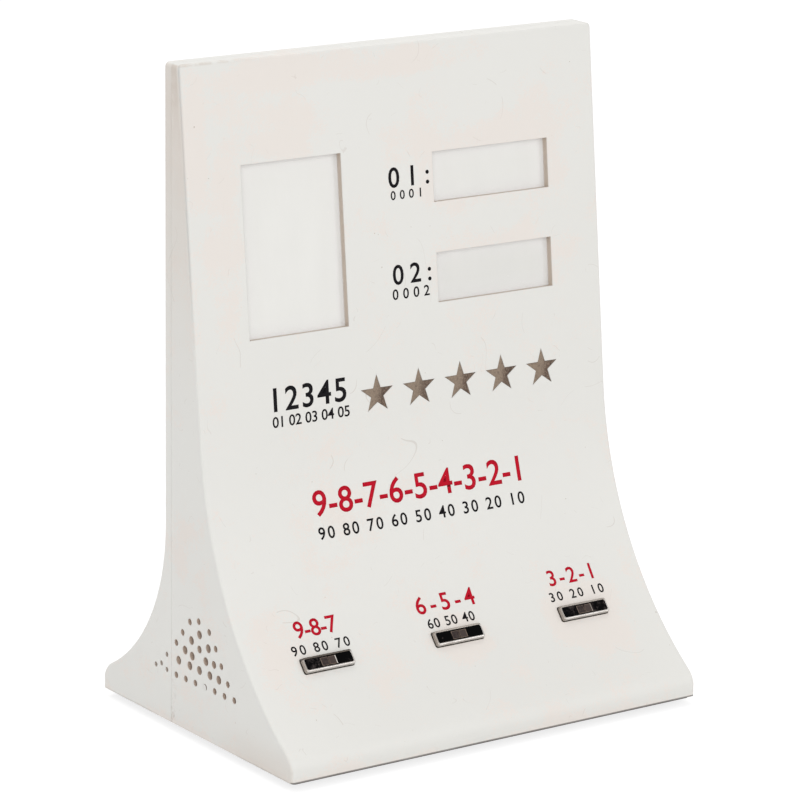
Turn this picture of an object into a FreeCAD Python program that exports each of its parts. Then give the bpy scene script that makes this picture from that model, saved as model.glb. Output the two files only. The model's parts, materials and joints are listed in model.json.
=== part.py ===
import FreeCAD, Part
import math
import os
import re
import Sketcher

# Customer feedback button terminal for a shop counter, in millimetres.
# Frame: X to the right seen from the customer, Y from the customer's side to the back, Z up.
# The origin lies on the counter under the middle of the base. The face looks towards -Y.

SIZES = (
    # housing
    ("body_width", 150.0, "housing across, side to side"),
    ("body_depth", 106.4, "housing at its rim, front toe to rear toe"),
    ("body_height", 202.7, "housing from its rim to its top"),
    ("top_depth", 8.4, "flat top, front edge to back wall"),
    ("back_plane", 16.8, "back wall's outer face, behind the middle of the base"),
    ("seam_plane", 13.2, "joint between the two shells, behind the middle of the base"),
    ("seam_gap", 0.1, "shadow gap between the two shells"),
    ("wall", 2.3, "shell wall"),
    ("face_lean", 6.0, "lean of the face from the vertical, degrees"),
    ("sweep_top", 89.5, "height above the rim where the face starts to curve"),
    ("flare_top", 62.0, "height above the rim where the back starts to curve"),
    ("toe_radius", 7.8, "rounding of both toes"),
    ("toe_height", 2.0, "upright stretch between a toe and the rim"),
    ("edge_radius", 0.6, "rounding of the long outer edges"),
    ("crown_radius", 1.5, "rounding of the two upper corners, seen from the front"),
    ("foot_corner", 1.0, "rounding of the four corners of the base, seen from above"),
    ("overrun", 1.0, "how far a cut runs past the wall that it goes through"),
    ("embed", 0.8, "how far a boss reaches into the wall that carries it"),
    ("hole_play", 0.1, "radial play of a screw in the hole that it passes"),
    ("seat_gap", 0.1, "gap between stacked flat pieces"),
    # base plate, its feet and its screws
    ("rim_gap", 0.2, "shadow gap between the shells' rim and the base plate"),
    ("plate_thickness", 0.5, "base plate"),
    ("plate_inset", 1.2, "base plate's edge behind the housing's outline"),
    ("plate_corner", 1.2, "base plate's corner radius"),
    ("foot_height", 1.9, "rubber foot"),
    ("foot_diameter", 11.0, "rubber foot at the plate"),
    ("foot_taper", 0.7, "how much a foot's radius shrinks towards the counter"),
    ("foot_inset", 17.0, "foot's middle from the housing's side and toe"),
    ("corner_boss_diameter", 7.0, "screw boss in a corner of the base"),
    ("corner_boss_height", 9.0, "screw boss above the rim"),
    ("corner_boss_inset", 7.0, "corner boss's middle from the housing's side"),
    ("corner_boss_reach", 36.0, "corner boss's middle from the middle of the base"),
    ("base_screw_length", 7.0, "base screw under its head"),
    # screws
    ("screw_core", 2.4, "shank of a case screw, drawn at its core"),
    ("screw_head", 5.2, "head of a case screw"),
    ("screw_head_height", 1.1, "head of a base or board screw"),
    ("small_core", 1.7, "shank of a small screw, drawn at its core"),
    ("small_head", 3.6, "head of a small screw"),
    ("small_head_height", 1.2, "head height of a small screw"),
    # screws through the back into the front shell
    ("tie_inset", 15.0, "case screw from the housing's side"),
    ("tie_low", 72.0, "lower case screws above the rim"),
    ("tie_high", 187.0, "upper case screws above the rim"),
    ("tie_well", 8.0, "rear shell's well for a case screw"),
    ("tie_post", 6.0, "front shell's boss for a case screw"),
    ("tie_recess", 6.0, "recess for the screw's head in the back wall"),
    ("tie_recess_depth", 2.0, "depth of that recess"),
    ("tie_floor", 1.6, "plastic between that recess and the front shell's boss"),
    ("tie_head_height", 1.7, "head of a case screw"),
    ("tie_length", 6.0, "case screw under its head"),
    # tongues that line the rear shell up in the front shell
    ("tongue_width", 10.0, "tongue along the seam"),
    ("tongue_thickness", 1.2, "tongue"),
    ("tongue_reach", 2.5, "tongue into the front shell"),
    ("tongue_root", 2.0, "tongue on the rear shell's own wall"),
    ("tongue_low", 88.0, "lowest tongue above the rim"),
    ("tongue_pitch", 38.0, "from one tongue to the next"),
    # windows in the face; drops run down the face from its top edge
    ("photo_width", 35.6, "photo window across"),
    ("photo_height", 52.5, "photo window along the face"),
    ("photo_inset", 19.0, "photo window from the housing's left side"),
    ("photo_drop", 57.4, "photo window's middle"),
    ("line_width", 43.5, "name and number windows across"),
    ("line_height", 15.4, "name and number windows along the face"),
    ("line_inset", 18.6, "name and number windows from the housing's right side"),
    ("name_drop", 41.8, "name window's middle"),
    ("number_drop", 72.7, "number window's middle"),
    ("pane_lap", 2.0, "pane past its window, each side"),
    ("pane_thickness", 0.8, "clear pane"),
    ("card_thickness", 0.4, "card"),
    ("card_pocket", 0.5, "pocket for a card in the holder"),
    ("card_play", 0.3, "card in its pocket, each side"),
    ("holder_clearance", 4.7, "card holder from the side walls inside"),
    ("holder_margin", 4.75, "card holder past the photo window, above and below"),
    ("holder_thickness", 1.6, "card holder"),
    ("holder_corner", 3.0, "card holder's corner radius"),
    ("holder_screw_inset", 3.5, "holder screw from the holder's edges"),
    ("holder_boss", 5.0, "boss under a holder screw"),
    ("holder_screw_length", 3.4, "holder screw under its head"),
    # star windows
    ("star_reach", 6.2, "star's middle to its tips"),
    ("star_waist", 2.42, "star's middle to its inner corners"),
    ("star_pitch", 15.55, "from one star to the next"),
    ("star_inset", 55.3, "middle star from the housing's right side"),
    ("star_drop", 105.6, "stars' middle, down the face"),
    ("star_play", 0.1, "star on the lens in its cut-out"),
    ("star_sink", 0.15, "star on the lens below the face"),
    ("lens_width", 84.0, "star lens strip"),
    ("lens_height", 18.0, "star lens strip"),
    ("lens_thickness", 1.2, "star lens strip behind the wall"),
    ("lens_corner", 2.0, "star lens strip's corner radius"),
    ("peg_diameter", 2.0, "peg that the lens strip is staked on"),
    ("peg_inset", 1.9, "peg from the strip's end"),
    ("peg_reach", 1.9, "peg from the wall"),
    ("star_board_width", 96.0, "star board"),
    ("star_board_height", 16.0, "star board"),
    ("star_board_depth", 9.0, "star board's front below the face"),
    ("star_post_inset", 3.0, "star board's screw from its end"),
    ("board_thickness", 1.6, "every circuit board"),
    ("post_diameter", 5.0, "moulded post under a board"),
    ("board_screw_length", 4.0, "board screw under its head"),
    ("lamp_diameter", 3.0, "lamp"),
    ("star_lamp_height", 4.2, "lamp behind a star"),
    ("lamp_collar", 0.4, "lamp's collar past its body"),
    ("lamp_collar_height", 0.8, "lamp's collar"),
    # keys
    ("key_height", 26.4, "keys' middle above the rim"),
    ("key_inset", 27.25, "outer keys' middle from the housing's side"),
    ("key_length", 17.6, "key across"),
    ("key_width", 4.7, "key along the slope"),
    ("key_corner", 0.7, "key's corner radius"),
    ("key_play", 0.25, "key in its hole, each side"),
    ("key_proud", 1.5, "key above the shell"),
    ("key_bevel", 0.4, "rounded rim of the key's cap"),
    ("flange_gap", 0.3, "key's flange behind the wall"),
    ("flange_lap", 1.5, "key's flange past the key, each side"),
    ("flange_thickness", 1.0, "key's flange"),
    ("key_lens_length", 16.6, "black lens across"),
    ("key_lens_width", 3.4, "black lens along the slope"),
    ("key_lens_thickness", 1.1, "black lens"),
    ("key_lens_sink", 0.15, "black lens below the cap's rim"),
    ("key_lens_play", 0.05, "black lens in the cap, each side"),
    ("guide_length", 5.45, "light guide across"),
    ("guide_width", 2.6, "light guide along the slope"),
    ("guide_play", 0.05, "light guide in the cap, each side"),
    ("guide_depth", 2.4, "light guide's foot below the shell's face"),
    ("guide_groove", 0.3, "groove that parts the light guide's top in two"),
    ("guide_groove_depth", 0.35, "depth of that groove"),
    ("key_lens_corner", 0.6, "black lens's corner radius"),
    ("stem_diameter", 3.0, "switch stem"),
    ("stem_seat", 1.2, "switch stem in its socket under the cap"),
    ("stem_reach", 1.5, "switch stem out of the switch at rest"),
    ("stem_root", 1.4, "switch stem inside the switch at rest"),
    ("stem_play", 0.15, "switch stem in its bore"),
    ("stem_floor", 0.6, "plastic under the switch's bore"),
    ("switch_size", 6.0, "switch body, square"),
    ("switch_height", 3.6, "switch body above the board"),
    ("switch_offset", 6.0, "switch's middle from the key's middle"),
    ("key_lamp_height", 3.2, "lamp under a key"),
    ("key_board_clearance", 7.2, "key board from the side walls inside"),
    ("key_board_width", 14.0, "key board along the slope"),
    ("key_post_reach", 13.8, "outer key board posts past the outer keys' middle"),
    # speaker on the inside of the left wall
    ("speaker_y", -3.0, "speaker's middle"),
    ("speaker_height", 24.0, "speaker's middle above the rim"),
    ("speaker_diameter", 28.0, "speaker's rim"),
    ("speaker_rim", 1.0, "thickness of the speaker's rim"),
    ("speaker_skirt", 23.0, "basket inside its rim"),
    ("speaker_back", 17.0, "basket inside its back"),
    ("speaker_depth", 5.0, "basket from the rim's front to its back"),
    ("basket_wall", 0.7, "basket's sheet metal"),
    ("magnet_diameter", 12.0, "speaker magnet"),
    ("magnet_depth", 3.6, "speaker magnet"),
    ("cone_thickness", 0.4, "speaker cone"),
    ("cone_play", 0.7, "speaker cone inside the basket's mouth"),
    ("cone_middle", 8.0, "speaker cone's dust cap"),
    ("cone_sink", 2.2, "depth of the speaker cone"),
    ("clamp_circle", 31.8, "circle of the speaker's screws"),
    ("clamp_boss", 3.2, "boss of a speaker screw"),
    ("clamp_boss_height", 1.05, "boss of a speaker screw"),
    ("clamp_head", 5.2, "head of a speaker screw"),
    ("clamp_core", 1.5, "shank of a speaker screw"),
    ("clamp_screw_length", 2.5, "speaker screw under its head"),
    # speaker grille
    ("grille_y", -22.0, "foremost hole"),
    ("grille_height", 16.1, "lowest row above the rim"),
    ("grille_span", 45.0, "foremost hole to rearmost hole"),
    ("grille_rise", 20.0, "lowest row to the highest hole"),
    ("hole_large", 2.7, "large grille hole"),
    ("hole_medium", 2.4, "medium grille hole"),
    ("hole_small", 2.05, "small grille hole"),
    ("hole_tiny", 1.6, "smallest grille hole"),
    # data socket in a recess of the rear flare
    ("recess_width", 26.0, "recess across"),
    ("recess_floor", 5.0, "recess's floor above the rim"),
    ("recess_rise", 22.0, "recess above its floor, past where it runs out in the flare"),
    ("recess_plane", 32.0, "recess's flat wall, behind the middle of the base"),
    ("socket_width", 12.0, "data socket"),
    ("socket_height", 11.0, "data socket"),
    ("socket_length", 16.0, "data socket"),
    ("socket_play", 0.3, "data socket in the wall, each side"),
    ("socket_sink", 0.3, "data socket's mouth behind the recess's wall"),
    ("mouth_width", 8.5, "data socket's mouth"),
    ("mouth_height", 7.8, "data socket's mouth"),
    ("mouth_depth", 9.0, "data socket's mouth"),
    ("mouth_chamfer", 1.6, "cut upper corners of the mouth"),
    ("tongue_block_width", 5.6, "contact block in the mouth"),
    ("tongue_block_height", 3.2, "contact block in the mouth"),
    ("tongue_block_length", 7.8, "contact block in the mouth"),
    # main board on its spacers
    ("main_board_width", 96.0, "main board"),
    ("main_board_depth", 44.0, "main board"),
    ("main_board_rear", 28.6, "main board's rear edge, behind the middle of the base"),
    ("main_board_height", 10.0, "main board's underside above the counter"),
    ("main_post_inset", 4.0, "main board's screw from its edges"),
    ("spacer_diameter", 5.0, "spacer under the main board"),
    ("chip_size", 12.0, "processor, square"),
    ("chip_height", 1.6, "processor"),
    ("sound_chip_length", 15.0, "sound chip"),
    ("sound_chip_width", 7.5, "sound chip"),
    ("sound_chip_height", 2.3, "sound chip"),
    ("can_diameter", 6.3, "capacitor"),
    ("can_height", 7.0, "capacitor"),
    ("crystal_length", 10.0, "crystal"),
    ("crystal_width", 4.0, "crystal"),
    ("crystal_height", 3.4, "crystal"),
    # ribbons and leads with their plugs
    ("plug_length", 14.0, "ribbon plug across"),
    ("plug_width", 4.6, "ribbon plug along the board"),
    ("plug_height", 4.0, "ribbon plug above the board"),
    ("ribbon_width", 11.0, "ribbon"),
    ("ribbon_thickness", 0.9, "ribbon"),
    ("lead_diameter", 1.8, "speaker lead"),
    ("lead_plug", 5.0, "speaker lead's plug, square"),
    ("lead_rise", 6.0, "how far the speaker lead arches"),
    ("ribbon_rise", 9.0, "key ribbon straight out of its plug, up the slope"),
    ("ribbon_dip", 2.7, "key ribbon's fall on its way over to the main board"),
    ("ribbon_wave", 0.8, "how far the star ribbon waves about its straight way"),
    ("star_plug_reach", 32.7, "star ribbon's plugs, from the middle star"),
)

# Sizes worked out from the ones above.
FITS = (
    ("rim_z", "foot_height + plate_thickness + rim_gap"),
    ("plate_top", "foot_height + plate_thickness"),
    ("top_z", "rim_z + body_height"),
    ("front_y", "-body_depth / 2"),
    ("rear_y", "body_depth / 2"),
    ("crest_y", "back_plane - top_depth"),
    ("front_seam", "seam_plane - seam_gap / 2"),
    ("rear_seam", "seam_plane + seam_gap / 2"),
    ("sweep_z", "rim_z + sweep_top"),
    ("sweep_y", "crest_y - (body_height - sweep_top) * tan(face_lean)"),
    ("sweep_run", "sweep_y - front_y"),
    ("sweep_fall", "sweep_top - toe_height"),
    ("sweep_gap", "toe_radius - sweep_fall * sin(face_lean) + cos(face_lean) * (sweep_run - toe_radius)"),
    ("sweep_radius", "(sweep_fall ^ 2 + sweep_run ^ 2 - 2 * toe_radius * sweep_run) / (2 * sweep_gap)"),
    ("sweep_sine", "(sweep_fall + sweep_radius * sin(face_lean)) / (sweep_radius + toe_radius)"),
    ("sweep_cosine", "sqrt(1 - sweep_sine ^ 2)"),
    ("flare_run", "rear_y - back_plane"),
    ("flare_fall", "flare_top - toe_height"),
    ("flare_radius", "(flare_fall ^ 2 + flare_run ^ 2 - 2 * toe_radius * flare_run) / (2 * flare_run)"),
    ("flare_sine", "flare_fall / (flare_radius + toe_radius)"),
    ("flare_cosine", "sqrt(1 - flare_sine ^ 2)"),
    ("key_sine", "sin(face_lean) + (sweep_top - key_height) / sweep_radius"),
    ("key_turn", "90 - asin(key_sine) / 1 deg"),
    ("key_y", "sweep_y - sweep_radius * (cos(face_lean) - sqrt(1 - key_sine ^ 2))"),
    ("key_z", "rim_z + key_height"),
    ("face_turn", "90 - face_lean"),
    ("side_x", "body_width / 2"),
    ("inner_x", "side_x - wall"),
    ("photo_x", "-side_x + photo_inset + photo_width / 2"),
    ("line_x", "side_x - line_inset - line_width / 2"),
    ("star_x", "side_x - star_inset"),
    ("star_plug_x", "star_x - star_plug_reach"),
    ("key_pitch", "side_x - key_inset"),
    ("key_post_near", "key_pitch / 2"),
    ("key_post_far", "key_pitch + key_post_reach"),
    ("key_board_length", "2 * (inner_x - key_board_clearance)"),
    ("holder_width", "2 * (inner_x - holder_clearance)"),
    ("holder_height", "photo_height + 2 * holder_margin"),
    ("tie_offset", "side_x - tie_inset"),
    ("flange_top", "-wall - flange_gap"),
    ("flange_foot", "flange_top - flange_thickness"),
    ("switch_top", "flange_foot - stem_reach"),
    ("key_board_top", "switch_top - switch_height"),
    ("holder_front", "-wall - pane_thickness - seat_gap"),
    ("holder_back", "holder_front - holder_thickness"),
    ("lens_back", "-wall - lens_thickness"),
    ("tie_seat", "back_plane - tie_recess_depth"),
    ("tie_meeting", "tie_seat - tie_floor - seat_gap"),
    ("tie_sine", "sin(face_lean) + (sweep_top - tie_low) / sweep_radius"),
    ("tie_low_face", "sweep_y - sweep_radius * (cos(face_lean) - sqrt(1 - tie_sine ^ 2))"),
    ("tie_high_face", "crest_y - (body_height - tie_high) * tan(face_lean)"),
    ("main_board_top", "main_board_height + board_thickness"),
    ("main_board_front", "main_board_rear - main_board_depth"),
    ("speaker_z", "rim_z + speaker_height"),
    ("socket_rear", "recess_plane - socket_sink"),
    ("socket_foot", "main_board_top"),
)

# Grille holes: place along the grille, place up the grille, kind of hole.
GRILLE_SHARES = (
    (0.00, 0.04, "small"), (0.12, 0.03, "small"), (0.24, 0.03, "small"), (0.36, 0.02, "small"),
    (0.48, 0.01, "small"), (0.60, 0.00, "small"), (0.72, -0.01, "small"), (0.84, 0.00, "tiny"),
    (0.98, 0.00, "tiny"), (0.91, 0.06, "tiny"),
    (0.08, 0.24, "small"), (0.19, 0.24, "large"), (0.30, 0.24, "large"), (0.43, 0.24, "large"),
    (0.55, 0.24, "large"), (0.69, 0.24, "large"), (0.84, 0.24, "tiny"),
    (0.16, 0.47, "small"), (0.25, 0.44, "medium"), (0.35, 0.43, "large"), (0.52, 0.41, "large"),
    (0.61, 0.45, "large"), (0.72, 0.50, "small"),
    (0.23, 0.70, "small"), (0.32, 0.65, "large"), (0.43, 0.57, "medium"), (0.53, 0.65, "large"),
    (0.64, 0.71, "small"),
    (0.31, 0.91, "small"), (0.43, 0.80, "large"), (0.55, 0.93, "small"), (0.44, 1.00, "small"),
)

# Parts on the main board: place across, place from front to rear, as shares of the board.
PROCESSOR_SHARES = (0.30, 0.38)
SOUND_CHIP_SHARES = (0.68, 0.30)
CRYSTAL_SHARES = (0.30, 0.80)
CAN_SHARES = ((0.80, 0.62), (0.88, 0.62))
KEY_PLUG_SHARES = (0.50, 0.20)
STAR_PLUG_SHARE = 0.60
LEAD_PLUG_SHARES = (0.10, 0.30)

# Ways of the leads: share of the way, and share of the wave or of the rise at that place.
STAR_RIBBON_SHARES = ((0.25, -0.8), (0.50, 0.9), (0.75, -1.1))
SPEAKER_LEAD_SHARES = ((0.25, 0.0), (0.55, 1.0), (1.0, 0.5))
BEND_SHARE = 0.45

# The keys, and the windows of the face: middle across, middle down the face, width, height.
KEYS = (("good", "-key_pitch"), ("fair", "0"), ("poor", "key_pitch"))
WINDOWS = {
    "photo": ("photo_x", "photo_drop", "photo_width", "photo_height"),
    "name": ("line_x", "name_drop", "line_width", "line_height"),
    "number": ("line_x", "number_drop", "line_width", "line_height"),
}

doc = FreeCAD.newDocument("feedback_terminal")
sizes = doc.addObject("Spreadsheet::Sheet", "Sizes")
fits = doc.addObject("Spreadsheet::Sheet", "Fits")
HOMES = {}
NODES = []

# Leaning frames: place in Y, place in Z, turn about X. Their normal points out of the housing.
FACE = ("crest_y", "top_z", "face_turn")
KEY = ("key_y", "key_z", "key_turn")

# Spots that several pieces share.
HOLDER_SPOTS = [
    (across + "(holder_width / 2 - holder_screw_inset)",
     "-photo_drop %s (holder_height / 2 - holder_screw_inset)" % up)
    for across in ("-", "") for up in ("-", "+")
]
STAR_SPOTS = [("star_x %s (star_board_width / 2 - star_post_inset)" % sign, "-star_drop") for sign in ("-", "+")]
PEG_SPOTS = [("star_x %s (lens_width / 2 - peg_inset)" % sign, "-star_drop") for sign in ("-", "+")]
KEY_SPOTS = [(sign + spot, "0") for sign in ("-", "") for spot in ("key_post_near", "key_post_far")]
CLAMP_SPOTS = [
    ("speaker_y + clamp_circle / 2 * cos(%d)" % angle, "speaker_z + clamp_circle / 2 * sin(%d)" % angle)
    for angle in (45, 135, 225, 315)
]
TIE_SPOTS = [
    (sign + "tie_offset", "rim_z + " + level, level + "_face")
    for sign in ("-", "") for level in ("tie_low", "tie_high")
]
MAIN_SPOTS = [
    (sign + "(main_board_width / 2 - main_post_inset)", y)
    for sign in ("-", "")
    for y in ("main_board_front + main_post_inset", "main_board_rear - main_post_inset")
]
CORNER_SPOTS = [
    (across + "(side_x - corner_boss_inset)", along + "corner_boss_reach")
    for across in ("-", "") for along in ("-", "")
]


def on_main_board(shares):
    """Place on the main board from its shares."""
    return ("main_board_width * (%s - 0.5)" % shares[0], "main_board_front + main_board_depth * %s" % shares[1])


PLUG_SPOTS = {
    "keys": on_main_board(KEY_PLUG_SHARES),
    "stars": ("star_plug_x", on_main_board((0.5, STAR_PLUG_SHARE))[1]),
    "lead": on_main_board(LEAD_PLUG_SHARES),
}


def full(text):
    """Write a sheet's name before every size that an expression uses."""
    return re.sub(r"[a-z][a-z_]*", lambda word: HOMES.get(word[0], "") + word[0], text)


def number(text):
    """Work an expression out to a plain number."""
    value = sizes.evalExpression(full(text))
    return float(getattr(value, "Value", value))


def fill_sheets():
    """Put the driving sizes in one sheet and what follows from them in another."""
    for row, (alias, value, meaning) in enumerate(SIZES, start=1):
        sizes.set("A%d" % row, meaning)
        sizes.set("B%d" % row, str(value))
        sizes.setAlias("B%d" % row, alias)
        HOMES[alias] = "Sizes."
    doc.recompute()
    for row, (alias, formula) in enumerate(FITS, start=1):
        fits.set("A%d" % row, alias.replace("_", " "))
        fits.set("B%d" % row, "=" + full(formula).replace("Fits.", ""))
        fits.setAlias("B%d" % row, alias)
        HOMES[alias] = "Fits."
    doc.recompute()


def bind(thing, path, text):
    """Tie one property to an expression."""
    thing.setExpression(path, full(text))


def place(thing, x="0", y="0", z="0", turn="0", axis=(1, 0, 0)):
    """Give a sub-part its place, tied to the sheets."""
    spot = FreeCAD.Vector(number(x), number(y), number(z))
    thing.Placement = FreeCAD.Placement(spot, FreeCAD.Rotation(FreeCAD.Vector(*axis), number(turn)))
    for letter, text in (("x", x), ("y", y), ("z", z)):
        bind(thing, "Placement.Base." + letter, text)
    if turn != "0":
        bind(thing, "Placement.Rotation.Angle", turn)


def seat(body, frame, x="0"):
    """Set a sub-part in the leaning frame of the face or of the keys."""
    place(body, x, *frame)


def node(thing, name):
    """Register a finished sub-part under the name of its file."""
    thing.Label = name
    NODES.append(thing)


def new_body(name, several=False):
    """Start a sub-part: one solid, or a group of like solids."""
    body = doc.addObject("PartDesign::Body", name)
    body.AllowCompound = several
    return body


def sketch_on(body, name, plane="XY_Plane", height="0", frame=None):
    """Make a sketch on an origin plane of its body, lifted along the normal, or in a leaning frame."""
    sketch = body.newObject("Sketcher::SketchObject", body.Name + "_" + name)
    base = [feature for feature in body.Origin.OriginFeatures if feature.Role == plane][0]
    sketch.AttachmentSupport = (base, "")
    sketch.MapMode = "FlatFace"
    if frame is None:
        sketch.AttachmentOffset = FreeCAD.Placement(FreeCAD.Vector(0, 0, number(height)), FreeCAD.Rotation())
        bind(sketch, "AttachmentOffset.Base.z", height)
        return sketch
    y, z, turn = frame
    level = "%s - sin(%s) * (%s)" % (y, turn, height)
    rise = "%s + cos(%s) * (%s)" % (z, turn, height)
    spot = FreeCAD.Vector(0, number(level), number(rise))
    lean = FreeCAD.Rotation(FreeCAD.Vector(1, 0, 0), number(turn))
    sketch.AttachmentOffset = FreeCAD.Placement(spot, lean)
    bind(sketch, "AttachmentOffset.Base.y", level)
    bind(sketch, "AttachmentOffset.Base.z", rise)
    bind(sketch, "AttachmentOffset.Rotation.Angle", turn)
    return sketch


def pin(sketch, edge, end, u, v):
    """Hold one point of a sketch at two expressions."""
    for kind, text in (("DistanceX", u), ("DistanceY", v)):
        index = sketch.addConstraint(Sketcher.Constraint(kind, -1, 1, edge, end, number(text)))
        bind(sketch, "Constraints[%d]" % index, text)


def draw_arc(sketch, start, end, radius, side):
    """Draw an arc of under half a circle. Side 1 has its middle on the left of the way, -1 on the right."""
    (u_start, v_start), (u_end, v_end) = start, end
    across, up = u_end - u_start, v_end - v_start
    chord = math.hypot(across, up)
    rise = side * math.sqrt(max(radius ** 2 - chord ** 2 / 4, 0)) / chord
    centre = FreeCAD.Vector((u_start + u_end) / 2 - up * rise, (v_start + v_end) / 2 + across * rise, 0)
    first = math.atan2(v_start - centre.y, u_start - centre.x)
    last = math.atan2(v_end - centre.y, u_end - centre.x)
    if side < 0:
        first, last = last, first
    if last < first:
        last += 2 * math.pi
    sketch.addGeometry(Part.ArcOfCircle(Part.Circle(centre, FreeCAD.Vector(0, 0, 1), radius), first, last))


def outline(sketch, corners):
    """Draw a closed outline. A corner is (u, v), or (u, v, radius, side) where an arc leads to it."""
    first = sketch.GeometryCount
    points = [(number(corner[0]), number(corner[1])) for corner in corners]
    starts = []
    for index, corner in enumerate(corners):
        if len(corner) == 4:
            draw_arc(sketch, points[index - 1], points[index], number(corner[2]), corner[3])
            starts.append(1 if corner[3] > 0 else 2)
        else:
            start, end = FreeCAD.Vector(*points[index - 1], 0), FreeCAD.Vector(*points[index], 0)
            sketch.addGeometry(Part.LineSegment(start, end))
            starts.append(1)
    for index, corner in enumerate(corners):
        edge, after = first + index, (index + 1) % len(corners)
        end = 3 - starts[index]
        sketch.addConstraint(Sketcher.Constraint("Coincident", edge, end, first + after, starts[after]))
        pin(sketch, edge, end, corner[0], corner[1])
        if len(corner) == 4:
            radius = sketch.addConstraint(Sketcher.Constraint("Radius", edge, number(corner[2])))
            bind(sketch, "Constraints[%d]" % radius, corner[2])


def rectangle(sketch, u, v, width, height, corner=None):
    """Draw a rectangle round a middle point, with rounded corners if a radius is given."""
    left, right = "%s - (%s) / 2" % (u, width), "%s + (%s) / 2" % (u, width)
    low, high = "%s - (%s) / 2" % (v, height), "%s + (%s) / 2" % (v, height)
    if corner is None:
        outline(sketch, [(left, low), (right, low), (right, high), (left, high)])
        return
    inner_left, inner_right = left + " + " + corner, right + " - " + corner
    inner_low, inner_high = low + " + " + corner, high + " - " + corner
    outline(sketch, [
        (inner_right, low), (right, inner_low, corner, 1),
        (right, inner_high), (inner_right, high, corner, 1),
        (inner_left, high), (left, inner_high, corner, 1),
        (left, inner_low), (inner_left, low, corner, 1),
    ])


def circle(sketch, u, v, diameter):
    """Draw one circle."""
    middle = FreeCAD.Vector(number(u), number(v), 0)
    edge = sketch.addGeometry(Part.Circle(middle, FreeCAD.Vector(0, 0, 1), number(diameter) / 2))
    pin(sketch, edge, 3, u, v)
    index = sketch.addConstraint(Sketcher.Constraint("Diameter", edge, number(diameter)))
    bind(sketch, "Constraints[%d]" % index, diameter)


def circles(sketch, spots, diameter):
    """Draw one circle at each spot."""
    for spot in spots:
        circle(sketch, spot[0], spot[1], diameter)


def star(sketch, u, v, reach, waist):
    """Draw a five-pointed star with one tip up."""
    corners = []
    for step in range(10):
        radius = reach if step % 2 == 0 else waist
        turn = 90 + 36 * step
        corners.append(("%s + (%s) * cos(%d)" % (u, radius, turn), "%s + (%s) * sin(%d)" % (v, radius, turn)))
    outline(sketch, corners)


def volume_of(body):
    """Volume of a body so far."""
    doc.recompute()
    return 0.0 if body.Shape.isNull() else body.Shape.Volume


def pad(body, sketch, length, symmetric=False, downward=False):
    """Grow a sketch into solid and make sure that the body gained."""
    before = volume_of(body)
    feature = body.newObject("PartDesign::Pad", sketch.Name + "_pad")
    feature.Profile = sketch
    feature.SideType = "Symmetric" if symmetric else "One side"
    feature.Reversed = downward
    bind(feature, "Length", length)
    if volume_of(body) <= before:
        raise RuntimeError(feature.Name + " adds nothing")


def pocket(body, sketch, length, symmetric=True, upward=False):
    """Cut a sketch out of the body and make sure that the body lost."""
    before = volume_of(body)
    feature = body.newObject("PartDesign::Pocket", sketch.Name + "_pocket")
    feature.Profile = sketch
    feature.SideType = "Symmetric" if symmetric and not upward else "One side"
    feature.Reversed = upward
    bind(feature, "Length", length)
    if volume_of(body) >= before:
        raise RuntimeError(feature.Name + " cuts nothing")


def revolve(body, sketch):
    """Turn a sketch round its own upright axis."""
    feature = body.newObject("PartDesign::Revolution", sketch.Name + "_turn")
    feature.Profile = sketch
    feature.ReferenceAxis = (sketch, ["V_Axis"])
    doc.recompute()


def flat_at(piece, axis, level):
    """Whether an edge or a face lies wholly at one level of an axis."""
    box = piece.BoundBox
    low, high = {"x": (box.XMin, box.XMax), "y": (box.YMin, box.YMax), "z": (box.ZMin, box.ZMax)}[axis]
    near = number("seat_gap / 10")
    return abs(low - level) < near and abs(high - level) < near


def dress_edges(body, kind, size, radius, name, test):
    """Round or chamfer the edges of a body that pass a test."""
    carrier = body.Tip
    edges = ["Edge%d" % place for place, edge in enumerate(carrier.Shape.Edges, start=1) if test(edge)]
    feature = body.newObject("PartDesign::" + kind, body.Name + "_" + name)
    feature.Base = (carrier, edges)
    bind(feature, size, radius)
    doc.recompute()


def hollow_out(body, test):
    """Turn a solid into a shell of the wall's thickness, open at the faces that pass a test."""
    before, carrier = volume_of(body), body.Tip
    faces = ["Face%d" % place for place, face in enumerate(carrier.Shape.Faces, start=1) if test(face)]
    feature = body.newObject("PartDesign::Thickness", body.Name + "_hollow")
    feature.Base = (carrier, faces)
    feature.Reversed = True
    feature.Join = "Intersection"
    bind(feature, "Value", "wall")
    if volume_of(body) >= before:
        raise RuntimeError(feature.Name + " hollows nothing")


def is_outer_edge(seam):
    """A test for the long edges that a hand meets: up both sides, round the crown and along the top."""
    side, top, rim = number("side_x"), number("top_z"), number("rim_z")
    crown, near = number("crown_radius"), number("seam_gap")

    def test(edge):
        box = edge.BoundBox
        if flat_at(edge, "y", seam) or flat_at(edge, "z", rim):
            return False
        if flat_at(edge, "x", side) or flat_at(edge, "x", -side):
            return box.ZLength > near
        if flat_at(edge, "z", top):
            return box.XLength > side
        return abs(box.XLength - crown) < near and abs(box.ZMax - top) < near

    return test


def round_crown(body):
    """Round the two upper corners of a shell, seen from the front."""
    side, top = number("side_x"), number("top_z")

    def at_corner(edge):
        return flat_at(edge, "z", top) and (flat_at(edge, "x", side) or flat_at(edge, "x", -side))

    dress_edges(body, "Fillet", "Radius", "crown_radius", "crown", at_corner)


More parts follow.
